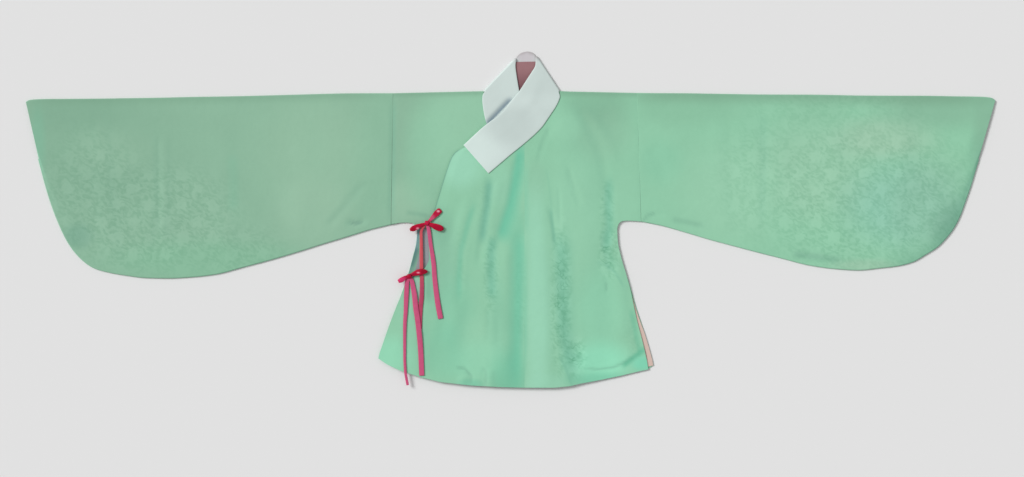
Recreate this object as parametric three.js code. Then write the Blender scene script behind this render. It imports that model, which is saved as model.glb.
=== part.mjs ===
// Hanfu jacket with a crossed collar, laid flat on its back.
// Millimetres. X runs to the wearer's left, Y to the neck, Z up from the surface it lies on.
import * as THREE from 'three';

// ---------- driving sizes ----------
const SLEEVE_SPAN = 2280;      // cuff to cuff
const SPAN_UNITS = 969.4;      // the same span in drafting units
const UNIT = SLEEVE_SPAN / SPAN_UNITS;
const MIDDLE_X = 510.61;       // drafting position of the middle of the garment
const MIDDLE_Y = 219.56;
const CLOTH = 1.5;             // silk with its lining
const COLLAR_CLOTH = 2.0;      // padded collar band
const LINING = 1.0;
const RIBBON = 1.0;
const SEAM_GAP = 0.4;          // between two sewn pieces
const FRONT_LIFT = 3.2;        // underside of a front above the surface, at its edges
const FLAP_LIFT = 4.7;         // what the outer front stands above the inner one
const BAND_LIFT = 0.5;         // air between a front and the collar band on it
const CENTRE_BACK = 520;
const CENTRE_FRONT = 524.5;
const HALF_SEAM = SEAM_GAP / 2 / UNIT;
const BODY_COLUMNS = 14;       // across a front half
const NECK_COLUMNS = 5;        // across half of the back neck
const FLAP_COLUMNS = 13;
const SLEEVE_COLUMNS = 8;      // along a sleeve wall, from fold to lower edge
const ROLL_STEPS = 4;          // around a folded edge

// ---------- small helpers ----------
const clamp01 = (v) => Math.min(1, Math.max(0, v));
const smooth = (v) => clamp01(v) ** 2 * (3 - 2 * clamp01(v));
const mix = (a, b, u) => a + (b - a) * u;
const at = (x, y, z) => new THREE.Vector3((x - MIDDLE_X) * UNIT, (MIDDLE_Y - y) * UNIT, z);

// height of a polyline table [x, y] at x
function heightAt(line, x) {
  let k = 1;
  while (k < line.length - 1 && line[k][0] < x) k += 1;
  const [x0, y0] = line[k - 1];
  const [x1, y1] = line[k];
  return mix(y0, y1, clamp01((x - x0) / (x1 - x0)));
}

// distance from a point to a path, and how far along the path the nearest point is (0 to 1)
function nearPath(path, x, y) {
  let best = { gap: Infinity, along: 0 };
  path.forEach(([ax, ay], k) => {
    if (k === path.length - 1) return;
    const [bx, by] = path[k + 1];
    const length2 = (bx - ax) ** 2 + (by - ay) ** 2;
    const s = clamp01(((x - ax) * (bx - ax) + (y - ay) * (by - ay)) / length2);
    const gap = Math.hypot(x - mix(ax, bx, s), y - mix(ay, by, s));
    if (gap < best.gap) best = { gap, along: (k + s) / (path.length - 1) };
  });
  return best;
}

// ---------- folds of the fronts and sleeves ----------
// rise in mm (a trough is negative), reach in drafting units each side of the path
const FOLDS = [
  { rise: -1.7, reach: 13, path: [[515, 168], [512, 199], [500, 235], [492, 262], [490, 325]] },
  { rise: 1.8, reach: 15, path: [[470, 190], [462, 235], [458, 285], [455, 350]] },
  { rise: 1.4, reach: 12, path: [[505, 240], [506, 300], [508, 386]] },
  { rise: 2.2, reach: 13, path: [[535, 165], [537, 240], [539, 310], [540, 388]] },
  { rise: -1.2, reach: 11, path: [[548, 172], [553, 229], [561, 300], [564, 376]] },
  { rise: 2.4, reach: 15, path: [[578, 150], [583, 230], [588, 300], [592, 382]] },
  { rise: 1.6, reach: 12, path: [[613, 245], [620, 300], [626, 372]] },
  { rise: 0.9, reach: 12, path: [[575, 100], [594, 144], [605, 187]] },
  { rise: 0.8, reach: 9, path: [[224, 120], [226, 190], [226, 262]] },
  { rise: 0.8, reach: 8, path: [[157, 140], [157, 190], [156, 232]] },
  { rise: 0.9, reach: 10, path: [[717, 120], [718, 180], [722, 228]] },
  { rise: 0.8, reach: 9, path: [[833, 130], [834, 190], [836, 250]] },
  { rise: 0.7, reach: 12, path: [[361, 175], [345, 205], [326, 225]] },
];

function foldRise(x, y) {
  return FOLDS.reduce((sum, fold) => {
    const { gap, along } = nearPath(fold.path, x, y);
    const fade = smooth(along / 0.22) * smooth((1 - along) / 0.12 + 0.35);
    return sum + fold.rise * fade * smooth(1 - gap / fold.reach);
  }, 0);
}

// undersides of the layers above the back
const innerFront = () => FRONT_LIFT;

function outerFront(x, y) {
  const lift = FLAP_LIFT * smooth((612 - x) / 58) * smooth((y - 92) / 20);
  const middle = smooth((y - 130) / 60) * smooth((x - 385) / 40) * smooth((650 - x) / 40);
  return FRONT_LIFT + lift + 0.8 * middle + foldRise(x, y) * smooth((y - 96) / 24);
}

function sleeveFront(x, y, u) {
  return FRONT_LIFT + (1.1 + foldRise(x, y)) * smooth(4.2 * u) * smooth(4.2 * (1 - u));
}

// ---------- cloth: a mid surface of quads, thickened into one closed wall ----------
class Cloth {
  constructor() {
    this.points = [];
    this.quads = [];
  }

  row(points) {
    return points.map((p) => this.points.push(p) - 1);
  }

  join(a, b) {
    for (let j = 0; j < a.length - 1; j += 1) {
      this.quads.push([a[j], a[j + 1], b[j + 1], b[j]]);
    }
  }

  triangles() {
    const gap = (a, b) => this.points[a].distanceTo(this.points[b]);
    return this.quads.flatMap(([a, b, c, d]) => (
      gap(a, c) <= gap(b, d) ? [[a, b, c], [a, c, d]] : [[a, b, d], [b, c, d]]
    ));
  }

  solid(thickness) {
    const faces = this.triangles();
    const normals = this.points.map(() => new THREE.Vector3());
    const edges = new Map();
    faces.forEach((face) => {
      const [a, b, c] = face.map((k) => this.points[k]);
      const normal = b.clone().sub(a).cross(c.clone().sub(a));
      face.forEach((k) => normals[k].add(normal));
      face.forEach((k, j) => {
        const next = face[(j + 1) % 3];
        if (!edges.delete(`${next},${k}`)) edges.set(`${k},${next}`, [k, next]);
      });
    });
    const count = this.points.length;
    const offset = (side) => this.points.map((p, k) => (
      p.clone().addScaledVector(normals[k].clone().normalize(), side * thickness / 2)
    ));
    const vertices = [...offset(1), ...offset(-1)];
    const index = [];
    faces.forEach(([a, b, c]) => {
      index.push(a, b, c);
      index.push(count + a, count + c, count + b);
    });
    edges.forEach(([a, b]) => {
      index.push(count + a, count + b, b);
      index.push(count + a, b, a);
    });
    const geometry = new THREE.BufferGeometry();
    geometry.setFromPoints(vertices);
    geometry.setIndex(index);
    geometry.computeVertexNormals();
    return geometry;
  }
}

// points across a rung table row; `shares` are the column positions from left to right
function across(rung, shares, height) {
  return shares.map((u) => {
    const x = mix(rung.xl, rung.xr, u);
    const y = mix(rung.yl, rung.yr, u) + (rung.bend ? rung.bend(x, u) : 0);
    return at(x, y, height(x, y, u));
  });
}

const evenShares = (n) => Array.from({ length: n + 1 }, (_, j) => j / n);

// bend the last (or first) rungs of a table so that its end row follows an edge line
function followEdge(rungs, line, atEnd, reach) {
  const end = atEnd ? rungs[rungs.length - 1] : rungs[0];
  return rungs.map((rung) => {
    const far = Math.abs((rung.yl + rung.yr) / 2 - (end.yl + end.yr) / 2);
    const share = smooth(1 - far / reach);
    if (share === 0) return rung;
    const old = rung.bend;
    const bend = (x, u) => {
      const flat = mix(end.yl, end.yr, u);
      const edge = heightAt(line, mix(end.xl, end.xr, u));
      return share * (edge - flat) + (old ? old(x, u) : 0);
    };
    return { ...rung, bend };
  });
}

// rows around a folded edge, from a lower row to an upper row lying over it
function rollRows(lower, upper, outward) {
  const rows = [];
  for (let s = 1; s < ROLL_STEPS; s += 1) {
    const turn = Math.PI * s / ROLL_STEPS;
    rows.push(lower.map((low, j) => {
      const radius = (upper[j].z - low.z) / 2;
      const middle = low.clone().lerp(upper[j], 0.5);
      middle.z -= radius * Math.cos(turn);
      return middle.addScaledVector(outward(j), radius * Math.sin(turn));
    }));
  }
  return rows;
}

const table = (columns, rows) => rows.map((row) => (
  Object.fromEntries(columns.map((name, k) => [name, row[k]]))
));
const RUNG = ['xl', 'yl', 'xr', 'yr'];

// ---------- edges shared by several pieces ----------
const HEM = [
  [378.5, 358.4], [387, 364.2], [400, 370.3], [418, 376.2], [440, 381.8], [470, 385.2],
  [500, 386.9], [524.5, 387.5], [555, 387.5], [570, 386], [580, 383.6], [600, 379.9],
  [620, 375.8], [640, 371], [649, 369.2], [653.5, 366],
];
const raised = (line, by) => line.map(([x, y]) => [x, y - by]);
const HEAD = [[393, 94.3], [482.3, 92.2], [520, 92], [561.2, 92.3], [637, 94]];
const SEAM_LEFT = 637 - HALF_SEAM;
const SEAM_RIGHT = 393 + HALF_SEAM;
const BACK_EDGE_LEFT = CENTRE_BACK + HALF_SEAM;
const BACK_EDGE_RIGHT = CENTRE_BACK - HALF_SEAM;
const FRONT_EDGE = CENTRE_FRONT + HALF_SEAM;
const FLAP_EDGE = CENTRE_FRONT - HALF_SEAM;
const SEW = HALF_SEAM;

// ---------- wearer's left half: back and outer front in one, folded at the shoulder ----------
const BACK_LEFT = table(RUNG, [
  [BACK_EDGE_LEFT, 386.6, 653.5, 366], [BACK_EDGE_LEFT, 370, 651.2, 358],
  [BACK_EDGE_LEFT, 350, 647.4, 343.5], [BACK_EDGE_LEFT, 330, 642, 325.5],
  [BACK_EDGE_LEFT, 310, 636.6, 309], [BACK_EDGE_LEFT, 290, 631, 289.5],
  [BACK_EDGE_LEFT, 272, 625.2, 271.5], [BACK_EDGE_LEFT, 256, 620.2, 255.5],
  [BACK_EDGE_LEFT, 243, 617.5, 241.5], [BACK_EDGE_LEFT, 233, 617.1, 231],
  [BACK_EDGE_LEFT, 226.5, 618.7, 223.8], [BACK_EDGE_LEFT, 221.5, 623, 220.9],
  [BACK_EDGE_LEFT, 217, 629, 220.6], [BACK_EDGE_LEFT, 212, 634.6, 220.9],
  [BACK_EDGE_LEFT, 206, 641 - SEW, 221.5], [BACK_EDGE_LEFT, 188, 640.4 - SEW, 203],
  [BACK_EDGE_LEFT, 165, 639.5 - SEW, 177], [BACK_EDGE_LEFT, 140, 638.6 - SEW, 148],
  [BACK_EDGE_LEFT, 116, 637.8 - SEW, 120], [BACK_EDGE_LEFT, 102, 637.3 - SEW, 103],
  [BACK_EDGE_LEFT, 92, SEAM_LEFT, 94],
]);
const FRONT_LEFT = table(RUNG, [
  [561.2, 92.3, SEAM_LEFT, 94], [559.8, 96, 637.2 - SEW, 99], [557, 100.4, 637.4 - SEW, 106.5],
  [553, 105.8, 637.7 - SEW, 116], [548.8, 111.4, 638 - SEW, 126],
  [544.4, 117.4, 638.3 - SEW, 137], [539.2, 124.4, 638.7 - SEW, 148],
  [532.4, 131.6, 639.1 - SEW, 158], [FRONT_EDGE, 138.5, 639.4 - SEW, 167],
  [FRONT_EDGE, 154, 639.7 - SEW, 179], [FRONT_EDGE, 170, 640.1 - SEW, 192],
  [FRONT_EDGE, 186, 640.5 - SEW, 206], [FRONT_EDGE, 202, 641 - SEW, 221.5],
  [FRONT_EDGE, 210, 634.4, 220.9], [FRONT_EDGE, 216, 628.4, 220.6],
  [FRONT_EDGE, 221.5, 622.6, 221], [FRONT_EDGE, 227, 618.7, 223.8],
  [FRONT_EDGE, 234, 617.1, 230], [FRONT_EDGE, 245, 617.9, 242.5],
  [FRONT_EDGE, 259, 621, 257], [FRONT_EDGE, 275, 625.7, 273],
  [FRONT_EDGE, 291, 630.6, 289], [FRONT_EDGE, 307, 634.6, 304],
  [FRONT_EDGE, 324, 638.6, 320.5], [FRONT_EDGE, 342, 642.8, 338],
  [FRONT_EDGE, 360, 646.4, 353], [FRONT_EDGE, 375, 648, 362.5],
  [FRONT_EDGE, 387.5, 648.8, 369.2],
]);

// ---------- wearer's right half: back and inner front in one ----------
const BACK_RIGHT = table(RUNG, [
  [379.6, 357.4, BACK_EDGE_RIGHT, 386.6], [382.6, 347, BACK_EDGE_RIGHT, 370],
  [387.6, 332, BACK_EDGE_RIGHT, 350], [393.2, 317, BACK_EDGE_RIGHT, 330],
  [399, 300.5, BACK_EDGE_RIGHT, 310], [404.3, 286, BACK_EDGE_RIGHT, 290],
  [409.6, 269.5, BACK_EDGE_RIGHT, 272], [413.2, 255.5, BACK_EDGE_RIGHT, 256],
  [416.3, 243, BACK_EDGE_RIGHT, 243], [417.2, 232.5, BACK_EDGE_RIGHT, 233],
  [416, 226.2, BACK_EDGE_RIGHT, 226.5], [412, 223, BACK_EDGE_RIGHT, 221],
  [406, 222.4, BACK_EDGE_RIGHT, 215], [399, 222.9, BACK_EDGE_RIGHT, 205],
  [391.3 + SEW, 224.6, BACK_EDGE_RIGHT, 193], [391.6 + SEW, 205, BACK_EDGE_RIGHT, 179],
  [391.9 + SEW, 179, BACK_EDGE_RIGHT, 160], [392.3 + SEW, 150, BACK_EDGE_RIGHT, 138],
  [392.7 + SEW, 121, BACK_EDGE_RIGHT, 116], [392.9 + SEW, 103.5, BACK_EDGE_RIGHT, 102],
  [SEAM_RIGHT, 94.3, BACK_EDGE_RIGHT, 92],
]);
const INNER_EDGE = 530;
const FRONT_RIGHT = table(RUNG, [
  [SEAM_RIGHT, 94.3, 482.3, 92.2], [392.9 + SEW, 99.5, 483.4, 96.6],
  [392.8 + SEW, 106.5, 484.6, 101.6], [392.7 + SEW, 114.5, 486, 107.4],
  [392.6 + SEW, 123, 487.6, 114], [392.5 + SEW, 133, 490, 122.4],
  [392.4 + SEW, 144, 494, 132.6], [392.2 + SEW, 155, 499.6, 143],
  [392.1 + SEW, 166, 506.6, 152.6], [391.9 + SEW, 177, 515.4, 162],
  [391.8 + SEW, 188, INNER_EDGE, 174.5], [391.6 + SEW, 200, INNER_EDGE, 179],
  [391.4 + SEW, 212, INNER_EDGE, 183.5], [391.3 + SEW, 224.6, INNER_EDGE, 188],
  [398.5, 222.9, INNER_EDGE, 202], [405, 222.4, INNER_EDGE, 214],
  [411, 222.8, INNER_EDGE, 224], [415.6, 225.8, INNER_EDGE, 232],
  [417.2, 232, INNER_EDGE, 241], [416.4, 243, INNER_EDGE, 253],
  [413.6, 255.5, INNER_EDGE, 267], [409.8, 269, INNER_EDGE, 282],
  [404.8, 284.5, INNER_EDGE, 299], [399.4, 300, INNER_EDGE, 317],
  [393, 318, INNER_EDGE, 336], [386.8, 335.5, INNER_EDGE, 356],
  [382.2, 349, INNER_EDGE, 372], [380.3, 356.6, INNER_EDGE, 384.4],
]);

// one body half: flat back, roll over the shoulder, then the front on it
function bodyHalf({ back, front, neckFirst, frontHeight }) {
  const cloth = new Cloth();
  const first = back[back.length - 1];
  const neckX = neckFirst ? front[0].xl : front[0].xr;
  const neck = (neckX - first.xl) / (first.xr - first.xl);
  const neckShares = evenShares(NECK_COLUMNS);
  const frontShares = evenShares(BODY_COLUMNS);
  const shares = neckFirst
    ? [...neckShares.map((u) => neck * u), ...frontShares.slice(1).map((u) => mix(neck, 1, u))]
    : [...frontShares.map((u) => neck * u), ...neckShares.slice(1).map((u) => mix(neck, 1, u))];
  const folded = (row) => (neckFirst ? row.slice(NECK_COLUMNS) : row.slice(0, BODY_COLUMNS + 1));
  const flat = () => CLOTH / 2;
  const backTable = followEdge(followEdge(back, raised(HEM, 0.9), false, 90), HEAD, true, 16);
  const backRows = backTable.map((rung) => across(rung, shares, flat));
  const frontRows = front.map((rung) => (
    across(rung, frontShares, (x, y, u) => frontHeight(x, y, u) + CLOTH / 2)
  ));
  const ids = backRows.map((row) => cloth.row(row));
  ids.slice(1).forEach((row, k) => cloth.join(ids[k], row));
  const top = folded(backRows[backRows.length - 1]);
  frontRows[0].forEach((p, j) => p.set(top[j].x, top[j].y, p.z));
  let last = folded(ids[ids.length - 1]);
  const north = () => new THREE.Vector3(0, 1, 0);
  [...rollRows(top, frontRows[0], north), ...frontRows].forEach((row) => {
    const next = cloth.row(row);
    cloth.join(last, next);
    last = next;
  });
  return cloth.solid(CLOTH);
}

// ---------- outer front extension, closing under the wearer's right arm ----------
const FLAP = table(RUNG, [
  [465, 147.4, FLAP_EDGE, 138.5], [459.8, 149.4, FLAP_EDGE, 147],
  [455.2, 152.4, FLAP_EDGE, 155], [451.8, 157, FLAP_EDGE, 163],
  [449.2, 163.2, FLAP_EDGE, 171], [446.8, 170.2, FLAP_EDGE, 179],
  [444.3, 178, FLAP_EDGE, 187], [441.5, 187, FLAP_EDGE, 196],
  [438.5, 197, FLAP_EDGE, 205.5], [435.3, 207.4, FLAP_EDGE, 215],
  [432.4, 217, FLAP_EDGE, 225], [429.8, 226, FLAP_EDGE, 235],
  [428.9, 236, FLAP_EDGE, 246], [428.9, 247.5, FLAP_EDGE, 257.5],
  [429.2, 258, FLAP_EDGE, 269.5], [425.2, 267.5, FLAP_EDGE, 281.5],
  [414.6, 276.2, FLAP_EDGE, 293.5], [405.6, 287, FLAP_EDGE, 306],
  [398.6, 301.5, FLAP_EDGE, 319], [392.6, 316.5, FLAP_EDGE, 333],
  [387.3, 331, FLAP_EDGE, 347.5], [382.5, 345, FLAP_EDGE, 362],
  [379.4, 354, FLAP_EDGE, 375.5], [378.5, 358.4, FLAP_EDGE, 387.5],
]);

function sheetSolid(rungs, columns, height, thickness) {
  const cloth = new Cloth();
  let last = null;
  rungs.forEach((rung) => {
    const next = cloth.row(across(rung, evenShares(columns), height));
    if (last) cloth.join(last, next);
    last = next;
  });
  return cloth.solid(thickness);
}

// ---------- sleeves: a flattened tube from the body seam to the open cuff ----------
const SLEEVE = ['xt', 'yt', 'xb', 'yb'];
const SLEEVE_RIGHT = table(SLEEVE, [
  [393 - SEW, 93.3, 391.3 - SEW, 224.6], [372, 93.3, 370, 229.8], [349, 93.4, 347, 236.9],
  [325, 93.9, 323, 244.1], [300, 94.6, 298, 252], [272, 95.4, 270, 260.2],
  [245, 96.1, 243, 267.4], [218, 96.6, 216, 274.4], [192, 97, 192, 277.2],
  [168, 97.6, 169, 278.4], [146, 98, 147, 278], [125, 98.3, 127, 275.7],
  [106, 98.6, 109, 272.6], [89, 98.8, 94, 268.3], [75, 98.9, 81.5, 259.6],
  [63, 99, 71, 247.5], [53, 99, 63.4, 234.4], [45, 99.1, 57, 220], [38.5, 99.3, 50.8, 203.6],
  [33.4, 99.6, 45.2, 185.4], [29.2, 100.2, 41.2, 170.4], [25.9, 102, 38.2, 159],
]);
const SLEEVE_LEFT = table(SLEEVE, [
  [637 + SEW, 93, 641 + SEW, 221.5], [660, 93.2, 661, 225.6], [684, 93.3, 683, 231.7],
  [708, 93.7, 707, 238.9], [733, 94.1, 732, 245.6], [758, 94.5, 757, 252.2],
  [784, 94.6, 783, 258.8], [810, 94.7, 809, 265.3], [836, 95.1, 834, 268.8],
  [860, 95.6, 858, 270.3], [882, 95.7, 879, 268.3], [902, 95.8, 897, 266.2],
  [920, 95.8, 912.5, 262.2], [935, 96, 926, 254.6], [947, 96.2, 937, 247.5],
  [957, 96.4, 946, 238.5], [966, 96.5, 954, 228], [974, 96.6, 960, 216.4],
  [981, 96.8, 966, 200], [987, 97.2, 971.2, 185], [991.6, 98, 975.4, 171],
  [995.3, 100.6, 979, 159.6],
]);

function sleeveSolid(stations, side) {
  const cloth = new Cloth();
  const inset = FRONT_LIFT / 2 + CLOTH / 2;
  const edge = (key) => stations.map((s) => at(s[`x${key}`], s[`y${key}`], 0));
  const lines = { t: edge('t'), b: edge('b') };
  const outward = (key, k, sign) => {
    const line = lines[key];
    const ahead = line[Math.min(k + 1, line.length - 1)];
    const along = ahead.clone().sub(line[Math.max(k - 1, 0)]).normalize();
    return new THREE.Vector3(-along.y, along.x, 0).multiplyScalar(sign);
  };
  const rings = stations.map((s, k) => {
    const up = outward('t', k, side);
    const down = outward('b', k, -side);
    const head = lines.t[k].clone().addScaledVector(up, -inset);
    const foot = lines.b[k].clone().addScaledVector(down, -inset);
    const ring = [];
    const wall = (from, to, height) => {
      evenShares(SLEEVE_COLUMNS).forEach((u) => {
        const p = from.clone().lerp(to, u);
        const x = p.x / UNIT + MIDDLE_X;
        const y = MIDDLE_Y - p.y / UNIT;
        ring.push(p.setZ(height(x, y, u) + CLOTH / 2));
      });
    };
    const roll = (p, out, from, to) => {
      for (let n = 1; n < ROLL_STEPS; n += 1) {
        const turn = Math.PI * n / ROLL_STEPS;
        const radius = FRONT_LIFT / 2;
        const q = p.clone().addScaledVector(out, radius * Math.sin(turn));
        ring.push(q.setZ(mix(from, to, (1 - Math.cos(turn)) / 2) + CLOTH / 2));
      }
    };
    wall(foot, head, () => 0);
    roll(head, up, 0, FRONT_LIFT);
    wall(head, foot, sleeveFront);
    roll(foot, down, FRONT_LIFT, 0);
    return ring;
  });
  const ids = rings.map((ring) => cloth.row(ring));
  ids.slice(1).forEach((ring, k) => cloth.join([...ids[k], ids[k][0]], [...ring, ring[0]]));
  return cloth.solid(CLOTH);
}

// ---------- collar: one straight strip, folded over at each side of the neck ----------
const RULING = ['xs', 'ys', 'xf', 'yf', 'rise'];
const OUTER_BAND = table(RULING, [
  [559.9, 96.5, 535.4, 65, 0.7], [558.4, 101.5, 532, 71.6, 1.4], [555.4, 107.4, 528.2, 77.4, 2],
  [551.6, 113.2, 524, 84, 2.6], [547.4, 119.4, 519.3, 91.2, 2.9],
  [542.2, 126.8, 514.6, 96.8, 2.6], [535.5, 133.8, 509.8, 102.6, 1.8],
  [528, 140.5, 504.5, 109.8, 1], [519.5, 147.6, 498, 116.2, 0.6],
  [511, 154.4, 490.5, 121.4, 0.3], [503, 161.2, 482.6, 127.6, 0],
  [495.5, 167.6, 474, 135.4, 0], [488.5, 173.5, 463.6, 145.2, 0],
]);
const INNER_BAND = table(RULING, [
  [482.5, 96, 515.5, 66, 0], [482.3, 100.5, 516.4, 74, 0], [482.8, 106, 517.8, 83, 0],
  [483.8, 112.7, 519.2, 91, 0], [485.2, 119, 520.6, 99.5, 0], [487.2, 126, 522.4, 108.5, 0],
  [490.5, 135, 525, 118, 0], [495.5, 145, 528.8, 128, 0], [502, 155, 534, 137.5, 0],
  [510.5, 164.5, 540.5, 145.8, 0], [520, 172.6, 547.2, 150.4, 0],
  [529.5, 180, 553.4, 154.2, 0],
]);
const BAND_COLUMNS = 4;

function collarSolid() {
  const cloth = new Cloth();
  const low = COLLAR_CLOTH / 2;
  const fold = { left: [[483.5, 90.8], [515, 58]], right: [[560, 91], [537, 56]] };
  const foldLift = FRONT_LIFT + CLOTH + BAND_LIFT;
  const inset = (foldLift / 2 + low) / UNIT;
  const ruling = ([xs, ys], [xf, yf], height) => evenShares(BAND_COLUMNS).map((u) => {
    const x = mix(xs, xf, u);
    const y = mix(ys, yf, u);
    return at(x, y, height(x, y, u) + low);
  });
  const outwardOf = ([[xs, ys], [xf, yf]], sign) => {
    const length = Math.hypot(xf - xs, yf - ys);
    return [sign * -(yf - ys) / length, sign * (xf - xs) / length];
  };
  const axis = (line, out) => line.map(([x, y]) => [x - out[0] * inset, y - out[1] * inset]);
  const onFront = (lift) => (x, y) => lift(x, y) + CLOTH + BAND_LIFT;
  const right = outwardOf(fold.right, 1);
  const left = outwardOf(fold.left, -1);
  const [rs, rf] = axis(fold.right, right);
  const [ls, lf] = axis(fold.left, left);
  const back = [[ls, lf], [[496, 91.87], [519, 54.4]], [[509, 91.87], [523, 52.4]],
    [[521.5, 91.87], [527, 51.6]], [[534.5, 91.87], [531.4, 52.2]],
    [[547.5, 91.87], [534.4, 54]], [rs, rf]];
  const rows = back.map(([s, f]) => ruling(s, f, () => 0));
  const overRight = ruling(rs, rf, () => foldLift);
  const overLeft = ruling(ls, lf, () => foldLift);
  const vector = ([x, y]) => () => new THREE.Vector3(x, -y, 0);
  const outer = OUTER_BAND.map((r) => ruling([r.xs, r.ys], [r.xf, r.yf], (x, y, u) => (
    onFront(outerFront)(x, y) + r.rise * u
  )));
  const inner = INNER_BAND.map((r) => ruling([r.xs, r.ys], [r.xf, r.yf], onFront(innerFront)));
  const sequence = [
    ...inner.reverse(), overLeft, ...rollRows(rows[0], overLeft, vector(left)).reverse(),
    ...rows, ...rollRows(rows[rows.length - 1], overRight, vector(right)), overRight, ...outer,
  ];
  let last = null;
  sequence.forEach((row) => {
    const next = cloth.row(row);
    if (last) cloth.join(last, next);
    last = next;
  });
  return cloth.solid(COLLAR_CLOTH);
}

// ---------- linings where they show ----------
const NECK_LINING = table(RUNG, [
  [516, 62, 537, 61.6], [509, 70, 542, 69.6], [502, 78, 547, 77.6], [495.5, 86, 552, 85.6],
  [492, 94, 553.4, 93.6], [493, 104, 546, 104],
]);
const VENT_LINING = table(RUNG, [
  [622, 296, 632.4, 297], [624.5, 308, 635.8, 308.6], [628, 322, 640.4, 322],
  [631.5, 336, 645, 336], [635, 350, 648.9, 350], [638, 360, 651.5, 360.6],
  [640, 368.6, 652.8, 365.4],
]);
const VENT_FACING = table(RUNG, [
  [420.6, 227.5, 432, 229], [420.4, 238, 431.6, 239], [419.6, 250, 432, 251],
  [417.4, 262, 432, 263], [414, 273, 425, 275], [409, 283, 418, 287.5],
]);

// ---------- ribbon ties ----------
// w is the width and lift the height over the front, both at that point of the ribbon
const RIBBON_POINT = ['x', 'y', 'w', 'lift'];
const TAILS = {
  tie_upper_tail_left: table(RIBBON_POINT, [
    [428.8, 229.6, 8.5, 0], [429.8, 246.2, 9, 0], [432, 257, 10, 0], [433.7, 266, 10.5, 0],
    [434.6, 276, 11, 0], [436.2, 291, 11.5, 0], [438.2, 305, 12, 0], [440.7, 318.5, 12, 0],
  ]),
  tie_upper_tail_right: table(RIBBON_POINT, [
    [421.9, 232.8, 6.5, 0], [421.4, 242, 7, 0], [421.5, 256, 8, 0], [421.6, 270, 8.5, 0],
    [422, 284, 9.5, 0], [421.8, 296, 10, 0], [420.7, 307, 10.5, 0], [420.1, 318, 10.5, 0],
    [419.8, 329, 10.5, 0],
  ]),
  tie_lower_tail_left: table(RIBBON_POINT, [
    [412, 280.2, 9.5, 0], [413.4, 288, 11, 0.4], [414.7, 296, 12, 1.5], [416, 308, 12.3, 1.5],
    [417.8, 320, 12.3, 1.5], [419.1, 331, 12.3, 1.5], [420.2, 342, 12.3, 0.6],
    [420.9, 352, 12.3, 0.1], [421.9, 375.4, 12, 0],
  ]),
  tie_lower_tail_right: table(RIBBON_POINT, [
    [407.3, 280.4, 10, 0], [406.5, 294, 11, 0], [405.9, 310, 9.5, 0], [405, 325, 8, 0],
    [404.8, 341, 7, 0], [404.8, 356, 6.5, 0], [405.4, 370, 6, 0], [407.9, 385, 6, 0],
  ]),
  tie_upper_base: table(RIBBON_POINT, [
    [431.4, 219.2, 9, 0], [433.6, 216.6, 11, 0.4], [437, 213.2, 13, 0.5], [440.6, 210, 12, 0],
  ]),
};
const LOOPS = {
  tie_upper_loop_left: { from: [430.4, 224.8], to: [443.4, 229], w: [8, 12, 14, 12] },
  tie_upper_loop_right: { from: [423.4, 224.6], to: [410.4, 229.2], w: [8, 11, 12, 10] },
  tie_lower_loop_left: { from: [412.6, 274.8], to: [427, 271.4], w: [7, 12, 14, 12] },
  tie_lower_loop_right: { from: [406.2, 277.6], to: [399, 280.4], w: [7, 10, 11, 9] },
};
const KNOTS = {
  tie_upper_knot: { x: 426.9, y: 223.2, turn: -0.3 },
  tie_lower_knot: { x: 409.4, y: 276.2, turn: 0.2 },
};

const onFlap = (x, y) => outerFront(x, y) + CLOTH + 0.6 + RIBBON / 2;

function tailSolid(points) {
  const cloth = new Cloth();
  let last = null;
  points.forEach((p, k) => {
    const a = points[Math.max(0, k - 1)];
    const b = points[Math.min(points.length - 1, k + 1)];
    const length = Math.hypot(b.x - a.x, b.y - a.y);
    const side = [(b.y - a.y) / length, -(b.x - a.x) / length];
    const next = cloth.row([-0.5, 0, 0.5].map((u) => {
      const x = p.x + side[0] * u * p.w / UNIT;
      const y = p.y + side[1] * u * p.w / UNIT;
      return at(x, y, onFlap(x, y) + p.lift);
    }));
    if (last) cloth.join(last, next);
    last = next;
  });
  return cloth.solid(RIBBON);
}

// a bow loop: out along the front, round its end and back on top
function loopSolid({ from, to, w }) {
  const cloth = new Cloth();
  const start = at(from[0], from[1], onFlap(...from) + 1.4);
  const end = at(to[0], to[1], start.z);
  const axis = end.clone().sub(start);
  const reach = axis.length();
  axis.normalize();
  const side = new THREE.Vector3(-axis.y, axis.x, 0);
  const round = 1.7;
  const profile = [
    [0, 0.4, w[0]], [0.35, 0, w[1]], [0.75, 0, w[2]], [1 - round / reach, 0, w[3]],
    [1 - 0.3 * round / reach, 0.3 * round, w[3]], [1, round, w[3]],
    [1 - 0.3 * round / reach, 1.7 * round, w[3]], [1 - round / reach, 2 * round, w[3]],
    [0.75, 2.2 * round, w[2]], [0.35, 2.1 * round, w[1]], [0, 1.5 * round, w[0]],
  ];
  let last = null;
  profile.forEach(([s, z, width]) => {
    const next = cloth.row([-0.5, -0.17, 0.17, 0.5].map((u) => {
      const p = start.clone().addScaledVector(axis, s * reach);
      return p.addScaledVector(side, u * width).setZ(start.z + z);
    }));
    if (last) cloth.join(last, next);
    last = next;
  });
  return cloth.solid(RIBBON);
}

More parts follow.
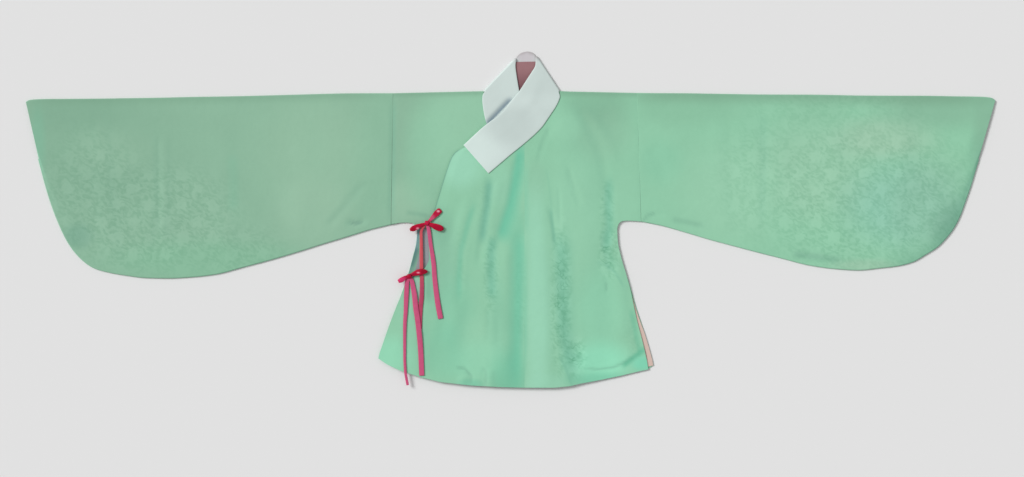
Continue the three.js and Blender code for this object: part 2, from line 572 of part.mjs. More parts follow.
// a knot: the ribbon wrapped once round, as a short flattened ring
function knotSolid({ x, y, turn }) {
  const cloth = new Cloth();
  const centre = at(x, y, onFlap(x, y) + 3.2);
  const axis = new THREE.Vector3(Math.cos(turn), Math.sin(turn), 0);
  const side = new THREE.Vector3(-axis.y, axis.x, 0);
  let last = null;
  [-5.2, -2, 2, 5.2].forEach((along, k) => {
    const puff = k === 0 || k === 3 ? 0.82 : 1;
    const ring = Array.from({ length: 14 }, (_, n) => {
      const angle = 2 * Math.PI * n / 14;
      const p = centre.clone().addScaledVector(axis, along);
      p.addScaledVector(side, 5.4 * puff * Math.cos(angle));
      return p.setZ(centre.z + 3 * puff * Math.sin(angle));
    });
    const next = cloth.row(ring);
    if (last) cloth.join([...last, last[0]], [...next, next[0]]);
    last = next;
  });
  return cloth.solid(RIBBON);
}

// ---------- the garment ----------
const COLOURS = {
  silk: 0x8fc6a4, collar: 0xc9d6d1, rose: 0xa56b70, peach: 0xd4b4a5, pale: 0xa9a7ab,
  ribbon: 0xc45a7c, crimson: 0xb01c3c,
};
const group = new THREE.Group();

function add(name, geometry, colour, roughness) {
  const material = new THREE.MeshStandardMaterial({ color: COLOURS[colour], roughness });
  const mesh = new THREE.Mesh(geometry, material);
  mesh.name = name;
  group.add(mesh);
}

// the flap's free edge settles towards the inner front
const flapHeight = (x, y, u) => outerFront(x, y) - 1.1 * (1 - smooth(u * 8));
const leftHeight = (x, y) => outerFront(x, y);

add('body_left', bodyHalf({
  back: BACK_LEFT,
  front: followEdge(FRONT_LEFT, HEM, true, 90),
  neckFirst: true,
  frontHeight: leftHeight,
}), 'silk', 0.6);
add('body_right', bodyHalf({
  back: BACK_RIGHT,
  front: followEdge(FRONT_RIGHT, raised(HEM, 1.8), true, 90),
  neckFirst: false,
  frontHeight: innerFront,
}), 'silk', 0.6);
add('front_flap', sheetSolid(
  followEdge(FLAP, HEM, true, 110),
  FLAP_COLUMNS,
  (x, y, u) => flapHeight(x, y, u) + CLOTH / 2,
  CLOTH,
), 'silk', 0.6);
add('sleeve_left', sleeveSolid(SLEEVE_LEFT, 1), 'silk', 0.6);
add('sleeve_right', sleeveSolid(SLEEVE_RIGHT, -1), 'silk', 0.6);
add('collar', collarSolid(), 'collar', 0.55);
add('neck_lining', sheetSolid(NECK_LINING, 5, () => 2.4 + LINING / 2, LINING), 'rose', 0.7);
add('vent_lining_left', sheetSolid(VENT_LINING, 3, () => 1.8 + LINING / 2, LINING), 'peach', 0.7);
add('vent_facing_right', sheetSolid(
  VENT_FACING,
  3,
  () => FRONT_LIFT + CLOTH + SEAM_GAP + LINING / 2,
  LINING,
), 'pale', 0.7);
Object.entries(TAILS).forEach(([name, points]) => {
  add(name, tailSolid(points), 'ribbon', 0.5);
});
Object.entries(LOOPS).forEach(([name, loop]) => {
  add(name, loopSolid(loop), 'crimson', 0.5);
});
Object.entries(KNOTS).forEach(([name, knot]) => {
  add(name, knotSolid(knot), 'crimson', 0.5);
});

export default group;
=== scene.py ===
# Hanfu jacket laid flat: silk, collar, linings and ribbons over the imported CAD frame.
import math

import bpy
import numpy as np
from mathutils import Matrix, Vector


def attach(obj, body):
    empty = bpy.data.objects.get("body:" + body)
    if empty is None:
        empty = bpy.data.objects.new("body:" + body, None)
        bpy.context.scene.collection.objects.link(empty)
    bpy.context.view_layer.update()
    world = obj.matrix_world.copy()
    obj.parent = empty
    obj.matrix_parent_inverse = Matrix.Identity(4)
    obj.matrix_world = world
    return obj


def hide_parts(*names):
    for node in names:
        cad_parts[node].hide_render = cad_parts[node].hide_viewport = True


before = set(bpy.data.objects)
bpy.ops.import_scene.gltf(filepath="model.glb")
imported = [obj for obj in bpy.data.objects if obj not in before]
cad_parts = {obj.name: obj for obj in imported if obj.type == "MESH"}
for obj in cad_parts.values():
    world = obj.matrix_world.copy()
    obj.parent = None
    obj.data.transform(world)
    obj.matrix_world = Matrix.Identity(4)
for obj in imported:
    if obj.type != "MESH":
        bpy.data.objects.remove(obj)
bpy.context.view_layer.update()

# ---------- driving sizes: millimetres, and drafting units in plan ----------
SPAN = 2280                    # from cuff to cuff
UNIT = SPAN / 969.4            # mm in one drafting unit, of which the span has 969.4
MIDDLE_X = 510.61
MIDDLE_Y = 219.56
CLOTH = 1.5
COLLAR_CLOTH = 2.0
LINING = 1.0
RIBBON = 1.0
FRONT_LIFT = 3.2
FLAP_LIFT = 4.7
BAND_LIFT = 0.5
SEAM = 0.001                   # half of the gap between two sewn pieces, in drafting units
CENTRE_BACK = 520
CENTRE_FRONT = 524.5
CENTRE = 515                   # half way between the sleeve seams
INNER_EDGE = 530


# ---------- small helpers ----------
def smooth(v):
    v = np.clip(v, 0, 1)
    return v * v * (3 - 2 * v)


def mix(a, b, u):
    return a + (b - a) * u


def at(x, y, z):
    """Points in millimetres from drafting positions and heights."""
    x, y, z = np.broadcast_arrays(x, y, z)
    return np.stack([(x - MIDDLE_X) * UNIT, (MIDDLE_Y - y) * UNIT, z], -1).astype(float)


def plan(points):
    """Drafting positions of points in millimetres."""
    return points[:, 0] / UNIT + MIDDLE_X, MIDDLE_Y - points[:, 1] / UNIT


def grid(text):
    """Rows of numbers and words: commas part the rows, spaces the columns."""
    return [
        tuple(w if w[0].isalpha() else float(w) for w in row.split())
        for row in text.split(",")
    ]


def paths(text):
    """A row for each line of text: its settings, a colon and the points of its path."""
    lines = (line.split(":") for line in text.strip().splitlines())
    return [(*grid(head)[0], grid(path)) for head, path in lines]


def steps(rows, per):
    """Positions between the rows of a table, closer together at both ends."""
    even = np.linspace(0, rows - 1, (rows - 1) * per + 1)
    near = np.array([0.015, 0.04, 0.08])
    return np.unique(np.concatenate([even, near, rows - 1 - near]))


def shares(n, near=(0.0003, 0.002, 0.009)):
    """Column positions from 0 to 1, closer together at both edges."""
    near = np.array(near)
    return np.unique(np.concatenate([np.linspace(0, 1, n + 1), near, 1 - near]))


def between(rows, where):
    """Rows of a table at positions between them, without overshoot at corners."""
    y = np.asarray(rows, float)
    d = np.diff(y, axis=0)
    m = np.zeros_like(y)
    product = d[:-1] * d[1:]
    total = d[:-1] + d[1:]
    rising = product > 0
    m[1:-1][rising] = 2 * product[rising] / total[rising]
    m[0] = d[0]
    m[-1] = d[-1]
    k = np.clip(np.floor(where).astype(int), 0, len(y) - 2)
    s = (where - k)[:, None]
    return (
        (1 + 2 * s) * (1 - s) ** 2 * y[k]
        + s * (1 - s) ** 2 * m[k]
        + s * s * (3 - 2 * s) * y[k + 1]
        - s * s * (1 - s) * m[k + 1]
    )


def near_path(path, x, y):
    """Gap to a path, the share of it passed, and +1 to its right or -1 to its left."""
    best = np.full(x.shape, np.inf)
    along = np.zeros(x.shape)
    side = np.ones(x.shape)
    for k, ((ax, ay), (bx, by)) in enumerate(zip(path, path[1:])):
        dx, dy = bx - ax, by - ay
        s = np.clip(((x - ax) * dx + (y - ay) * dy) / (dx * dx + dy * dy), 0, 1)
        px = x - ax - dx * s
        py = y - ay - dy * s
        gap = np.hypot(px, py)
        closer = gap < best
        best = np.where(closer, gap, best)
        along = np.where(closer, (k + s) / (len(path) - 1), along)
        side = np.where(closer, np.where(dy * px - dx * py >= 0, 1, -1), side)
    return best, along, side


# ---------- folds: rise in mm (a trough is negative), reach left, reach right: path ----------
FRONT_FOLDS = paths("""
-1.1 9 14: 520 152, 518 166, 515 182, 511 204, 503 226, 497 244, 492.5 262, 492 298
-0.9 7 7: 492 172, 489 190, 487 208, 483.5 228, 481 248, 479 266
-0.6 8 7: 477 200, 469 225, 462 252, 459 280, 459 310
-0.35 7 6: 463 192, 456 218, 449 244
-0.9 15 8: 520 226, 519 250, 518 300, 517 392
1.1 22 16: 541 170, 543 215, 543 260, 543 310, 545 360, 548 392
-0.5 4 5: 548 204, 551.5 218, 554 232, 556 246
-0.7 11 16: 564 244, 565 300, 570 345, 577 382
-0.3 2.5 3.5: 558.2 186, 559.2 202, 560 222
-0.45 4 6: 550 126, 543 143, 538 163
-0.35 4 7: 566 164, 572 186, 580 206
-0.5 9 9: 571 97, 583 116, 596 140, 604 166, 606 190
0.4 9 9: 581 104, 596 122, 608 142, 616 166
-0.8 8 9: 609 176, 608.5 205, 609 226, 606 248
-0.5 5 9: 603 232, 606 252, 613 276
0.6 20 22: 584 140, 588 220, 592 290, 598 362
0.5 11 9: 616 250, 622 300, 623 340
-0.35 6 9: 633 310, 634 330, 637 348, 629 362
0.6 6 5: 641 318, 645 342, 646 362
-0.6 2.6 3: 580 368.4, 600 369.3, 614 367.4, 626 362, 637 356
-0.8 3 3: 455 367.4, 465 368.6, 470.4 375, 470 384
0.8 6 6: 462 376, 463 388
0.8 7 7: 490 368, 490 388
-0.7 3 3: 483 366, 485 377, 483 388
-0.4 4 4: 487 308, 488 322, 487 342
-0.3 3 4: 497 314, 498 330, 497 348
0.5 12 9: 505 240, 506 300, 508 388
0.8 14 12: 470 186, 462 232, 457 285, 454 350
0.4 7 7: 501 176, 495 204, 489 230
-0.4 3 3: 606 280, 606.5 287, 606 294
0.5 9 9: 436 245, 428 290, 418 345
-0.4 12 12: 448 300, 440 340, 434 376
""")
SEAM_FOLDS = paths("""
-0.22 4 6: 393 80, 391.3 240
-0.12 3 3: 637 80, 641 240
""")
SLEEVE_FOLDS = paths("""
0.45 16 16: 222 112, 226 190, 230 274
-0.45 4 4: 157 128, 158 180, 156 246
0.5 5 5: 165 132, 166 180, 164 240
0.35 22 22: 300 104, 304 170, 298 244
-0.7 5 7: 364 182, 350 199, 326 228
-1.2 6 6: 346 222, 356 223, 366 221
0.5 14 14: 100 112, 104 180, 112 262
0.45 13 13: 716 104, 717 170, 724 238
-0.4 7 7: 762 104, 765 160, 763 232
0.5 16 16: 833 104, 834 190, 838 262
0.5 16 16: 905 104, 900 190, 892 258
-0.8 3.4 4: 648 221, 654 215, 664 214
-0.8 4 4: 672 221, 686 224, 702 227
-0.5 12 12: 652 142, 660 162, 664 184
-0.9 4 4: 796 255, 815 257, 846 262
-0.5 8 8: 981 130, 970 160, 958 176
""")
BACK_FOLDS = paths("""
0.9 14 12: 215 120, 222 180, 226 250
0.7 9 10: 150 130, 154 190, 150 250
0.8 16 14: 300 115, 306 165, 300 225
0.6 10 12: 90 130, 98 190, 112 240
0.8 12 14: 712 115, 716 170, 722 222
0.9 15 12: 800 120, 806 190, 812 245
0.7 12 12: 880 125, 884 190, 878 245
0.5 9 11: 940 130, 936 180, 926 225
1 14 12: 452 170, 446 240, 436 330
0.8 10 12: 484 150, 482 240, 476 352
0.9 9 8: 506 170, 508 260, 503 340
0.9 12 14: 540 160, 546 250, 552 356
1 13 12: 574 150, 584 240, 592 336
0.6 9 8: 600 170, 603 220, 606 258
""")


def fold_rise(folds, x, y, fading=True):
    total = np.zeros(x.shape)
    for rise, left, right, path in folds:
        gap, along, side = near_path(path, x, y)
        reach = np.where(side > 0, right, left)
        fade = smooth(along / 0.2) * smooth((1 - along) / 0.15 + 0.2) if fading else 1
        total += rise * fade * smooth(1 - gap / reach)
    return total


def seam_rise(x, y):
    return fold_rise(SEAM_FOLDS, x, y, fading=False)


def inner_front(x, y, u=None):
    return FRONT_LIFT + seam_rise(x, y)


def front_base(x, y):
    """Height of the outer front, lifted over the inner one, without its folds."""
    lift = FLAP_LIFT * smooth((612 - x) / 58) * smooth((y - 92) / 20)
    middle = smooth((y - 130) / 60) * smooth((x - 385) / 40) * smooth((650 - x) / 40)
    return FRONT_LIFT + lift + 0.8 * middle


def outer_front(x, y, u=None):
    folds = fold_rise(FRONT_FOLDS, x, y) * smooth((y - 96) / 24)
    height = front_base(x, y) + folds + seam_rise(x, y)
    over_band = (y < 188) & (x > 480)
    return np.maximum(height, np.where(over_band, 2.2 + 5.55 * smooth((553 - x) / 6), 2.2))


def flap_height(x, y, u):
    return outer_front(x, y) - 1.1 * (1 - smooth(u * 8))


def sleeve_front(x, y, u):
    away = smooth((np.abs(x - CENTRE) - 124) / 45)
    middle = smooth(4.2 * u) * smooth(4.2 * (1 - u)) * away
    low = smooth(14 * u) * smooth(14 * (1 - u))
    beside_body = np.where(x > 600, 0.8 * smooth((y - 130) / 60) * smooth((650 - x) / 40), 0)
    folds = fold_rise(SLEEVE_FOLDS, x, y)
    return FRONT_LIFT + 1.1 * middle + beside_body * low + folds * low + seam_rise(x, y) * low


def flat_back(x, y, u=None):
    return np.maximum(fold_rise(BACK_FOLDS, x, y), 0)


# ---------- cloth: a mid surface of quads ----------
class Cloth:
    def __init__(self):
        self.points = []
        self.quads = []
        self.count = 0

    def row(self, points):
        ids = np.arange(len(points)) + self.count
        self.points.append(points)
        self.count += len(points)
        return ids

    def join(self, a, b):
        self.quads.append(np.stack([a[:-1], a[1:], b[1:], b[:-1]], 1))

    def rows(self, rows, last=None):
        for points in rows:
            ids = self.row(points)
            if last is not None:
                self.join(last, ids)
            last = ids
        return last

    def rings(self, rings):
        """Rows that close on themselves."""
        last = None
        for points in rings:
            ids = self.row(points)
            closed = np.append(ids, ids[0])
            if last is not None:
                self.join(last, closed)
            last = closed

    def arrays(self):
        return np.concatenate(self.points), np.concatenate(self.quads)


def panel_rows(rungs, u, height, thickness, hem=None, head=None):
    """Rows of points for a table of rungs; hem and head are (edge line, reach)."""
    rows = []
    for xl, yl, xr, yr in rungs:
        bend = np.zeros(len(u))
        for end, edge in ((rungs[-1], hem), (rungs[0], head)):
            if edge is None:
                continue
            far = abs((yl + yr) / 2 - (end[1] + end[3]) / 2)
            share = float(smooth(1 - far / edge[1]))
            line = np.array(edge[0])
            edge_y = np.interp(mix(end[0], end[2], u), line[:, 0], line[:, 1])
            bend += share * (edge_y - mix(end[1], end[3], u))
        x = mix(xl, xr, u)
        y = mix(yl, yr, u) + bend
        rows.append(at(x, y, height(x, y, u) + thickness / 2))
    return rows


def roll_rows(lower, upper, outward, count=9):
    """Rows round a folded edge, from a lower row to an upper row lying over it."""
    radius = (upper[:, 2] - lower[:, 2]) / 2
    rows = []
    for n in range(1, count):
        turn = math.pi * n / count
        row = (lower + upper) / 2
        row[:, 2] -= radius * math.cos(turn)
        rows.append(row + outward * (radius * math.sin(turn))[:, None])
    return rows


# ---------- edges and rung tables, in drafting units ----------
HEM = grid("""
378.5 358.4, 387 364.2, 400 370.3, 418 376.2, 440 381.8, 470 385.2, 500 386.9, 524.5 387.5, 555 387.5,
570 386, 580 383.6, 600 379.9, 620 375.8, 640 371, 649 369.2, 653.5 366
""")
HEAD = grid("""
393 94.3, 483.6 92.2, 520 92, 559.5 92.1, 570 92.6, 637 94
""")


def raised(line, by):
    return [(x, y - by) for x, y in line]


def sewn(rungs, sign=1):
    """The rungs with a hair's gap at the sleeve seams, which end at the armpits."""
    def ease(x, y):
        on_seam = 121.9 < abs(x - CENTRE) < 126.1 and y < 225
        return x - sign * math.copysign(SEAM, x - CENTRE) if on_seam else x

    return [(ease(xl, yl), yl, ease(xr, yr), yr) for xl, yl, xr, yr in rungs]


def from_middle(x, text):
    """Rungs that start on an upright line at x: y there, then x and y of the other end."""
    return [(x, *row) for row in grid(text)]


def to_middle(x, text):
    """Rungs that end on an upright line at x: x and y of the other end, then y there."""
    return [(xl, yl, x, y) for xl, yl, y in grid(text)]


BACK_LEFT = sewn(from_middle(CENTRE_BACK + SEAM, """
386.6 653.5 366, 370 651.2 358, 350 647.4 343.5, 330 642 325.5, 310 636.6 309, 290 631 289.5,
272 625.2 271.5, 256 620.2 255.5, 243 617.5 241.5, 233 617.1 231, 226.5 618.7 223.8, 221.5 623 220.9,
217 629 220.6, 212 634.6 220.9, 206 641 221.5, 188 640.4 203, 165 639.5 177, 140 638.6 148, 116 637.8 120,
102 637.3 103, 92 637 94
"""))
FRONT_LEFT = sewn([*grid("""
559.5 92.3 637 94, 559.2 96 637.2 99, 557 100.4 637.4 106.5, 553 105.8 637.7 116, 548.8 111.4 638 126,
544.4 117.4 638.3 137, 539.2 124.4 638.7 148, 532.4 131.6 639.1 158
"""), *from_middle(CENTRE_FRONT + SEAM, """
138.5 639.4 167, 154 639.7 179, 170 640.1 192, 186 640.5 206, 202 641 221.5, 210 634.4 220.9,
216 628.4 220.6, 221.5 622.6 221, 227 618.7 223.8, 234 617.1 230, 245 617.9 242.5, 259 621 257,
275 625.7 273, 291 630.2 289, 307 633.4 304, 324 637 320.5, 342 641.6 338, 360 645.2 353, 375 647.2 362.5,
387.5 648.2 369.2
""")])
BACK_RIGHT = sewn(to_middle(CENTRE_BACK - SEAM, """
379.6 357.4 386.6, 382.6 347 370, 387.6 332 350, 393.2 317 330, 399 300.5 310, 404.3 286 290,
409.6 269.5 272, 413.2 255.5 256, 416.3 243 243, 417.2 232.5 233, 416 226.2 226.5, 412 223 221,
406 222.4 215, 399 222.9 205, 391.3 224.6 193, 391.6 205 179, 391.9 179 160, 392.3 150 138, 392.7 121 116,
392.9 103.5 102, 393 94.3 92
"""))
FRONT_RIGHT = sewn([*grid("""
393 94.3 483.6 92.2, 392.9 99.5 484 96.6, 392.8 106.5 484.6 101.6, 392.7 114.5 486 107.4,
392.6 123 487.6 114, 392.5 133 490 122.4, 392.4 144 494 132.6, 392.2 155 499.6 143, 392.1 166 506.6 152.6,
391.9 177 515.4 162
"""), *to_middle(INNER_EDGE, """
391.8 188 174.5, 391.6 200 179, 391.4 212 183.5, 391.3 224.6 188, 398.5 222.9 202, 405 222.4 214,
411 222.8 224, 415.6 225.8 232, 417.2 232 241, 416.4 243 253, 413.6 255.5 267, 409.8 269 282,
404.8 284.5 299, 399.4 300 317, 393 318 336, 386.8 335.5 356, 382.2 349 372, 380.3 356.6 384.4
""")])
FLAP = to_middle(CENTRE_FRONT - SEAM, """
465 147.4 138.5, 459.8 149.4 147, 455.2 152.4 155, 451.8 157 163, 449.2 163.2 171, 446.8 170.2 179,
444.3 178 187, 441.5 187 196, 438.5 197 205.5, 435.3 207.4 215, 432.4 217 225, 429.8 226 235,
428.9 236 246, 428.9 247.5 257.5, 429.2 258 269.5, 425.2 267.5 281.5, 414.6 276.2 293.5, 405.6 287 306,
398.6 301.5 319, 392.6 316.5 333, 387.3 331 347.5, 382.5 345 362, 379.4 354 375.5, 378.5 358.4 387.5
""")
# top edge and lower edge of each sleeve, from the body seam to the cuff opening
SLEEVE_RIGHT = sewn(grid("""
393 93.3 391.3 224.6, 372 93.3 370 229.8, 349 93.4 347 236.9, 325 93.9 323 244.1, 300 94.6 298 252,
272 95.4 270 260.2, 245 96.1 243 267.4, 218 96.6 216 274.4, 192 97 192 277.2, 168 97.6 169 278.4,
146 98 147 278, 125 98.3 127 275.7, 106 98.6 109 272.6, 89 98.8 94 268.3, 75 98.9 81.5 259.6,
63 99 71 247.5, 53 99 63.4 234.4, 45 99.1 57 220, 38.5 99.3 50.8 203.6, 33.4 99.6 45.2 185.4,
29.2 100.2 41.2 170.4, 25.9 102 38.2 159
"""), -1)
SLEEVE_LEFT = sewn(grid("""
637 93 641 221.5, 660 93.2 661 225.6, 684 93.3 683 231.7, 708 93.7 707 238.9, 733 94.1 732 245.6,
758 94.5 757 252.2, 784 94.6 783 258.8, 810 94.7 809 265.3, 836 95.1 834 268.8, 860 95.6 858 270.3,
882 95.7 879 268.3, 902 95.8 897 266.2, 920 95.8 912.5 262.2, 935 96 926 254.6, 947 96.2 937 247.5,
957 96.4 946 238.5, 966 96.5 954 228, 974 96.6 960 216.4, 981 96.8 966 200, 987 97.2 971.2 185,
991.6 98 975.4 171, 995.3 100.6 979 159.6
"""), -1)
# collar rulings: sewn edge, free edge, and the free edge's rise over what it crosses
OUTER_BAND = grid("""
559.9 96.5 535.4 65 0.7, 558.4 101.5 532 71.6 1.4, 555.4 107.4 528.2 77.4 2, 551.6 113.2 524 84 2.6,
547.4 119.4 519.3 91.2 2.9, 542.2 126.8 514.6 96.8 2.6, 535.5 133.8 509.8 102.6 1.8,
528 140.5 504.5 109.8 1.4, 519.5 147.6 498 116.2 1.2, 511 154.4 490.5 121.4 0.6, 503 161.2 482.6 127.6 0,
495.5 167.6 474 135.4 0, 488.5 173.5 463.6 145.2 0
""")
INNER_BAND = grid("""
482.5 96 515.5 66 0, 482.3 100.5 516.4 74 0, 482.8 106 517.8 83 0, 483.8 112.7 519.2 91 0,
485.2 119 520.6 99.5 0, 487.2 126 522.4 108.5 0, 490.5 135 525 118 0, 495.5 145 528.8 128 0,
502 155 534 137.5 0, 510.5 164.5 540.5 145.8 0, 520 172.6 547.2 150.4 0, 529.5 180 553.4 154.2 0
""")
NECK_LINING = grid("""
516 62 537 61.6, 509 70 542 69.6, 502 78 547 77.6, 495.5 86 552 85.6, 492 94 553.4 93.6, 493 104 546 104
""")
VENT_LINING = grid("""
622 296 632.4 297, 624.5 308 635.8 308.6, 628 322 640.4 322, 631.5 336 645.4 336, 635 350 649.5 350,
638 360 652.3 360.6, 640 368.6 653.2 365.4
""")
VENT_FACING = grid("""
420.6 227.5 432 229, 420.4 238 431.6 239, 419.6 250 432 251, 417.4 262 432 263, 414 273 425 275,
409 283 418 287.5
""")


# ---------- pieces as mid surfaces ----------
def level(z):
    return lambda x, y, u: 0 * x + z


def sheet_cloth(rungs, per, columns, height, thickness, hem=None):
    fine = between(rungs, steps(len(rungs), per))
    cloth = Cloth()
    cloth.rows(panel_rows(fine, shares(columns), height, thickness, hem))
    return cloth


def body_cloth(back, front, neck_first, height, back_hem, front_hem):
    fine_back = between(back, steps(len(back), 2))
    fine_front = between(front, steps(len(front), 6))
    xl, xr = back[-1][0], back[-1][2]
    neck = ((front[0][0] if neck_first else front[0][2]) - xl) / (xr - xl)
    front_u = shares(88)
    neck_u = np.linspace(0, 1, 7)
    if neck_first:
        u = np.concatenate([neck_u[:-1] * neck, mix(neck, 1, front_u)])
    else:
        u = np.concatenate([neck * front_u, mix(neck, 1, neck_u[1:])])
    part = slice(6, None) if neck_first else slice(0, len(front_u))
    cloth = Cloth()
    rows = panel_rows(fine_back[::-1], u, flat_back, CLOTH, (back_hem, 90), (HEAD, 16))[::-1]
    last = cloth.rows(rows)[part]
    fronts = panel_rows(fine_front, front_u, height, CLOTH, (front_hem, 90), (HEAD, 16))
    top = rows[-1][part]
    fronts[0][:, :2] = top[:, :2]
    north = np.array([0.0, 1.0, 0.0])
    cloth.rows([*roll_rows(top, fronts[0], north), *fronts], last)
    return cloth


def outward(line, sign):
    along = np.gradient(line, axis=0)
    along /= np.linalg.norm(along, axis=1)[:, None]
    return np.stack([-along[:, 1], along[:, 0], np.zeros(len(line))], 1) * sign


def sleeve_cloth(rungs, side, per=8, walls=64):
    fine = between(rungs, steps(len(rungs), per))
    inset = FRONT_LIFT / 2 + CLOTH / 2
    top = at(fine[:, 0], fine[:, 1], 0)
    low = at(fine[:, 2], fine[:, 3], 0)
    up = outward(top, side)
    down = outward(low, -side)
    head = top - up * inset
    foot = low - down * inset
    u = shares(walls, (0.002, 0.006, 0.012, 0.02))[:, None]
    turn = np.pi * np.arange(1, 8)[:, None] / 8

    def wall(a, b, height):
        p = mix(a, b, u)
        p[:, 2] = height(*plan(p), u[:, 0]) + CLOTH / 2
        return p

    def roll(p, out, a, b):
        q = p + out * np.sin(turn) * FRONT_LIFT / 2
        q[:, 2] = mix(a, b, (1 - np.cos(turn[:, 0])) / 2) + CLOTH / 2
        return q

    rings = []
    for k in range(len(fine)):
        back = wall(foot[k], head[k], flat_back)
        front = wall(head[k], foot[k], sleeve_front)
        over_head = roll(head[k], up[k], 0, front[0, 2] - CLOTH / 2)
        over_foot = roll(foot[k], down[k], front[-1, 2] - CLOTH / 2, 0)
        rings.append(np.concatenate([back, over_head, front, over_foot]))
    cloth = Cloth()
    cloth.rings(rings)
    return cloth


def collar_cloth():
    low = COLLAR_CLOTH / 2
    fold_left = np.array([(483.5, 90.8), (515, 58)])
    fold_right = np.array([(560, 91), (537, 56)])
    fold_lift = FRONT_LIFT + CLOTH + BAND_LIFT
    inset = (fold_lift / 2 + low) / UNIT
    u = shares(20, (0.002, 0.006, 0.012, 0.02, 0.03))

    def ruling(xs, ys, xf, yf, height):
        x = mix(xs, xf, u)
        y = mix(ys, yf, u)
        return at(x, y, height(x, y) + low)

    def out_of(line, sign):
        d = line[1] - line[0]
        return np.array([-d[1], d[0]]) * sign / np.hypot(*d)

    right = out_of(fold_right, 1)
    left = out_of(fold_left, -1)
    rs, rf = fold_right - right * inset
    ls, lf = fold_left - left * inset
    back = between([
        (*ls, *lf), (496, 91.87, 519, 54.4), (509, 91.87, 523, 52.4), (521.5, 91.87, 527, 51.6),
        (534.5, 91.87, 531.4, 52.2), (547.5, 91.87, 534.4, 54), (*rs, *rf),
    ], np.linspace(0, 6, 31))
    back_rows = [ruling(*r, lambda x, y: 0 * x) for r in back]

    def outer(x, y, rise):
        return front_base(x, y) + CLOTH + BAND_LIFT + rise * u

    def inner(x, y):
        gap, along, _ = near_path([(512, 97), (500, 111), (488, 125)], x, y)
        dip = 1.6 * smooth(1 - gap / 6) * smooth(along / 0.2) * smooth((1 - along) / 0.2)
        return FRONT_LIFT + CLOTH + BAND_LIFT - dip

    first = (*rs, *rf, 0)
    fine = between([first, *OUTER_BAND], steps(len(OUTER_BAND) + 1, 6))[1:]
    over_right = ruling(*rs, *rf, lambda x, y: 0 * x + fold_lift)
    outer_rows = []
    for n, r in enumerate(fine):
        settle = float(smooth(n / 8))
        outer_rows.append(ruling(*r[:4], lambda x, y, q=r[4], s=settle: (
            mix(fold_lift, outer(x, y, q), s)
        )))
    first = (*ls, *lf, 0)
    fine = between([first, *INNER_BAND], steps(len(INNER_BAND) + 1, 6))[1:]
    over_left = ruling(*ls, *lf, lambda x, y: 0 * x + fold_lift)
    inner_rows = [ruling(*r[:4], inner) for r in fine]
    round_left = roll_rows(back_rows[0], over_left, np.array([left[0], -left[1], 0]))
    round_right = roll_rows(back_rows[-1], over_right, np.array([right[0], -right[1], 0]))
    cloth = Cloth()
    cloth.width_share = u
    cloth.rows([
        *inner_rows[::-1], over_left, *round_left[::-1], *back_rows, *round_right,
        over_right, *outer_rows,
    ])
    return cloth


# ---------- ribbons: x, y, width in mm, lift over the front in mm ----------
TAILS = {
    "tie_upper_tail_left": grid("""
    427.6 225.4 6.5 0.4, 428.8 229.6 8.5 0, 431 246.2 9 0, 432.8 257 10 0, 434 266 10.5 0, 434.6 276 11 0,
    436.2 291 11.5 0, 438.2 305 12 0, 440.7 318.5 12 0
    """),
    "tie_upper_tail_right": grid("""
    424.6 226 5 0.2, 422 229.2 6 -0.3, 421.2 233.6 6.5 -1, 421.4 242 7 -1.9, 421.5 256 8 -1.8,
    421.6 270 8.5 -0.5, 422 284 9.5 0, 421.8 296 10 0, 420.7 307 10.5 0, 420.1 318 10.5 0, 419.8 329 10.5 0
    """),
    "tie_lower_tail_left": grid("""
    410.2 277.4 7.5 0.3, 412 281 9.5 0, 413.4 288 11 0.4, 414.7 296 12 1.5, 416 308 12.3 1.5,
    417.8 320 12.3 1.5, 419.1 331 12.3 1.5, 420.2 342 12.3 0.6, 420.9 352 12.3 0.1, 421.9 375.4 12 0
    """),
    "tie_lower_tail_right": grid("""
    408.4 277.8 7 0.2, 407.3 281.2 10 0, 406.5 294 11 0, 405.9 310 9.5 0, 405 325 8 0, 404.8 341 7 0,
    404.8 356 6.5 0, 405.4 370 6 0, 407.9 385 6 0
    """),
    "tie_upper_base": grid("""
    428.3 222.2 6 1.6, 430.4 220 7 1.4, 433.6 216.6 10.5 0.9, 437 213.2 13.5 0.7, 439.6 210.8 13 0.6,
    440.8 209.7 9 0.2
    """),
}
# loops: x, y and width along the loop from its knot to its tip, in drafting units
LOOPS = {
    "tie_upper_loop_left": grid("""
    428.6 223.6 2.4, 432 225.1 4.2, 436 226.7 6, 439.6 228 6.3, 441.6 228.6 5.2, 442.7 228.9 3.2
    """),
    "tie_upper_loop_right": grid("""
    425.4 223.9 2.6, 421 225.4 3.8, 416.8 227.2 5.4, 413.6 228.6 5.4, 412 229.3 4.6, 411.1 229.7 3
    """),
    "tie_lower_loop_left": grid("""
    410.6 275.2 2.8, 414.5 273.6 4.4, 419 272.2 6, 423.6 271.5 5, 425.8 271.5 3.8, 426.7 271.5 2.6
    """),
    "tie_lower_loop_right": grid("""
    407.6 276.4 2.6, 404.4 278.2 4.2, 401.6 279.9 4.8, 399.4 281 3.8
    """),
}
KNOTS = {
    "tie_upper_knot": (426.9, 223.2, -0.3),
    "tie_lower_knot": (409.4, 276.2, 0.2),
}


def on_flap(x, y):
    return front_base(x, y) + CLOTH + 1.1 + RIBBON / 2


def ribbon_row(x, y, dx, dy, width, height, crown):
    """One row across a ribbon: width in drafting units, crown in mm at its middle."""
    u = np.linspace(-0.5, 0.5, 11)
    length = math.hypot(dx, dy)
    px = x + dy / length * u * width
    py = y - dx / length * u * width
    return at(px, py, height + crown * (1 - 4 * u * u))


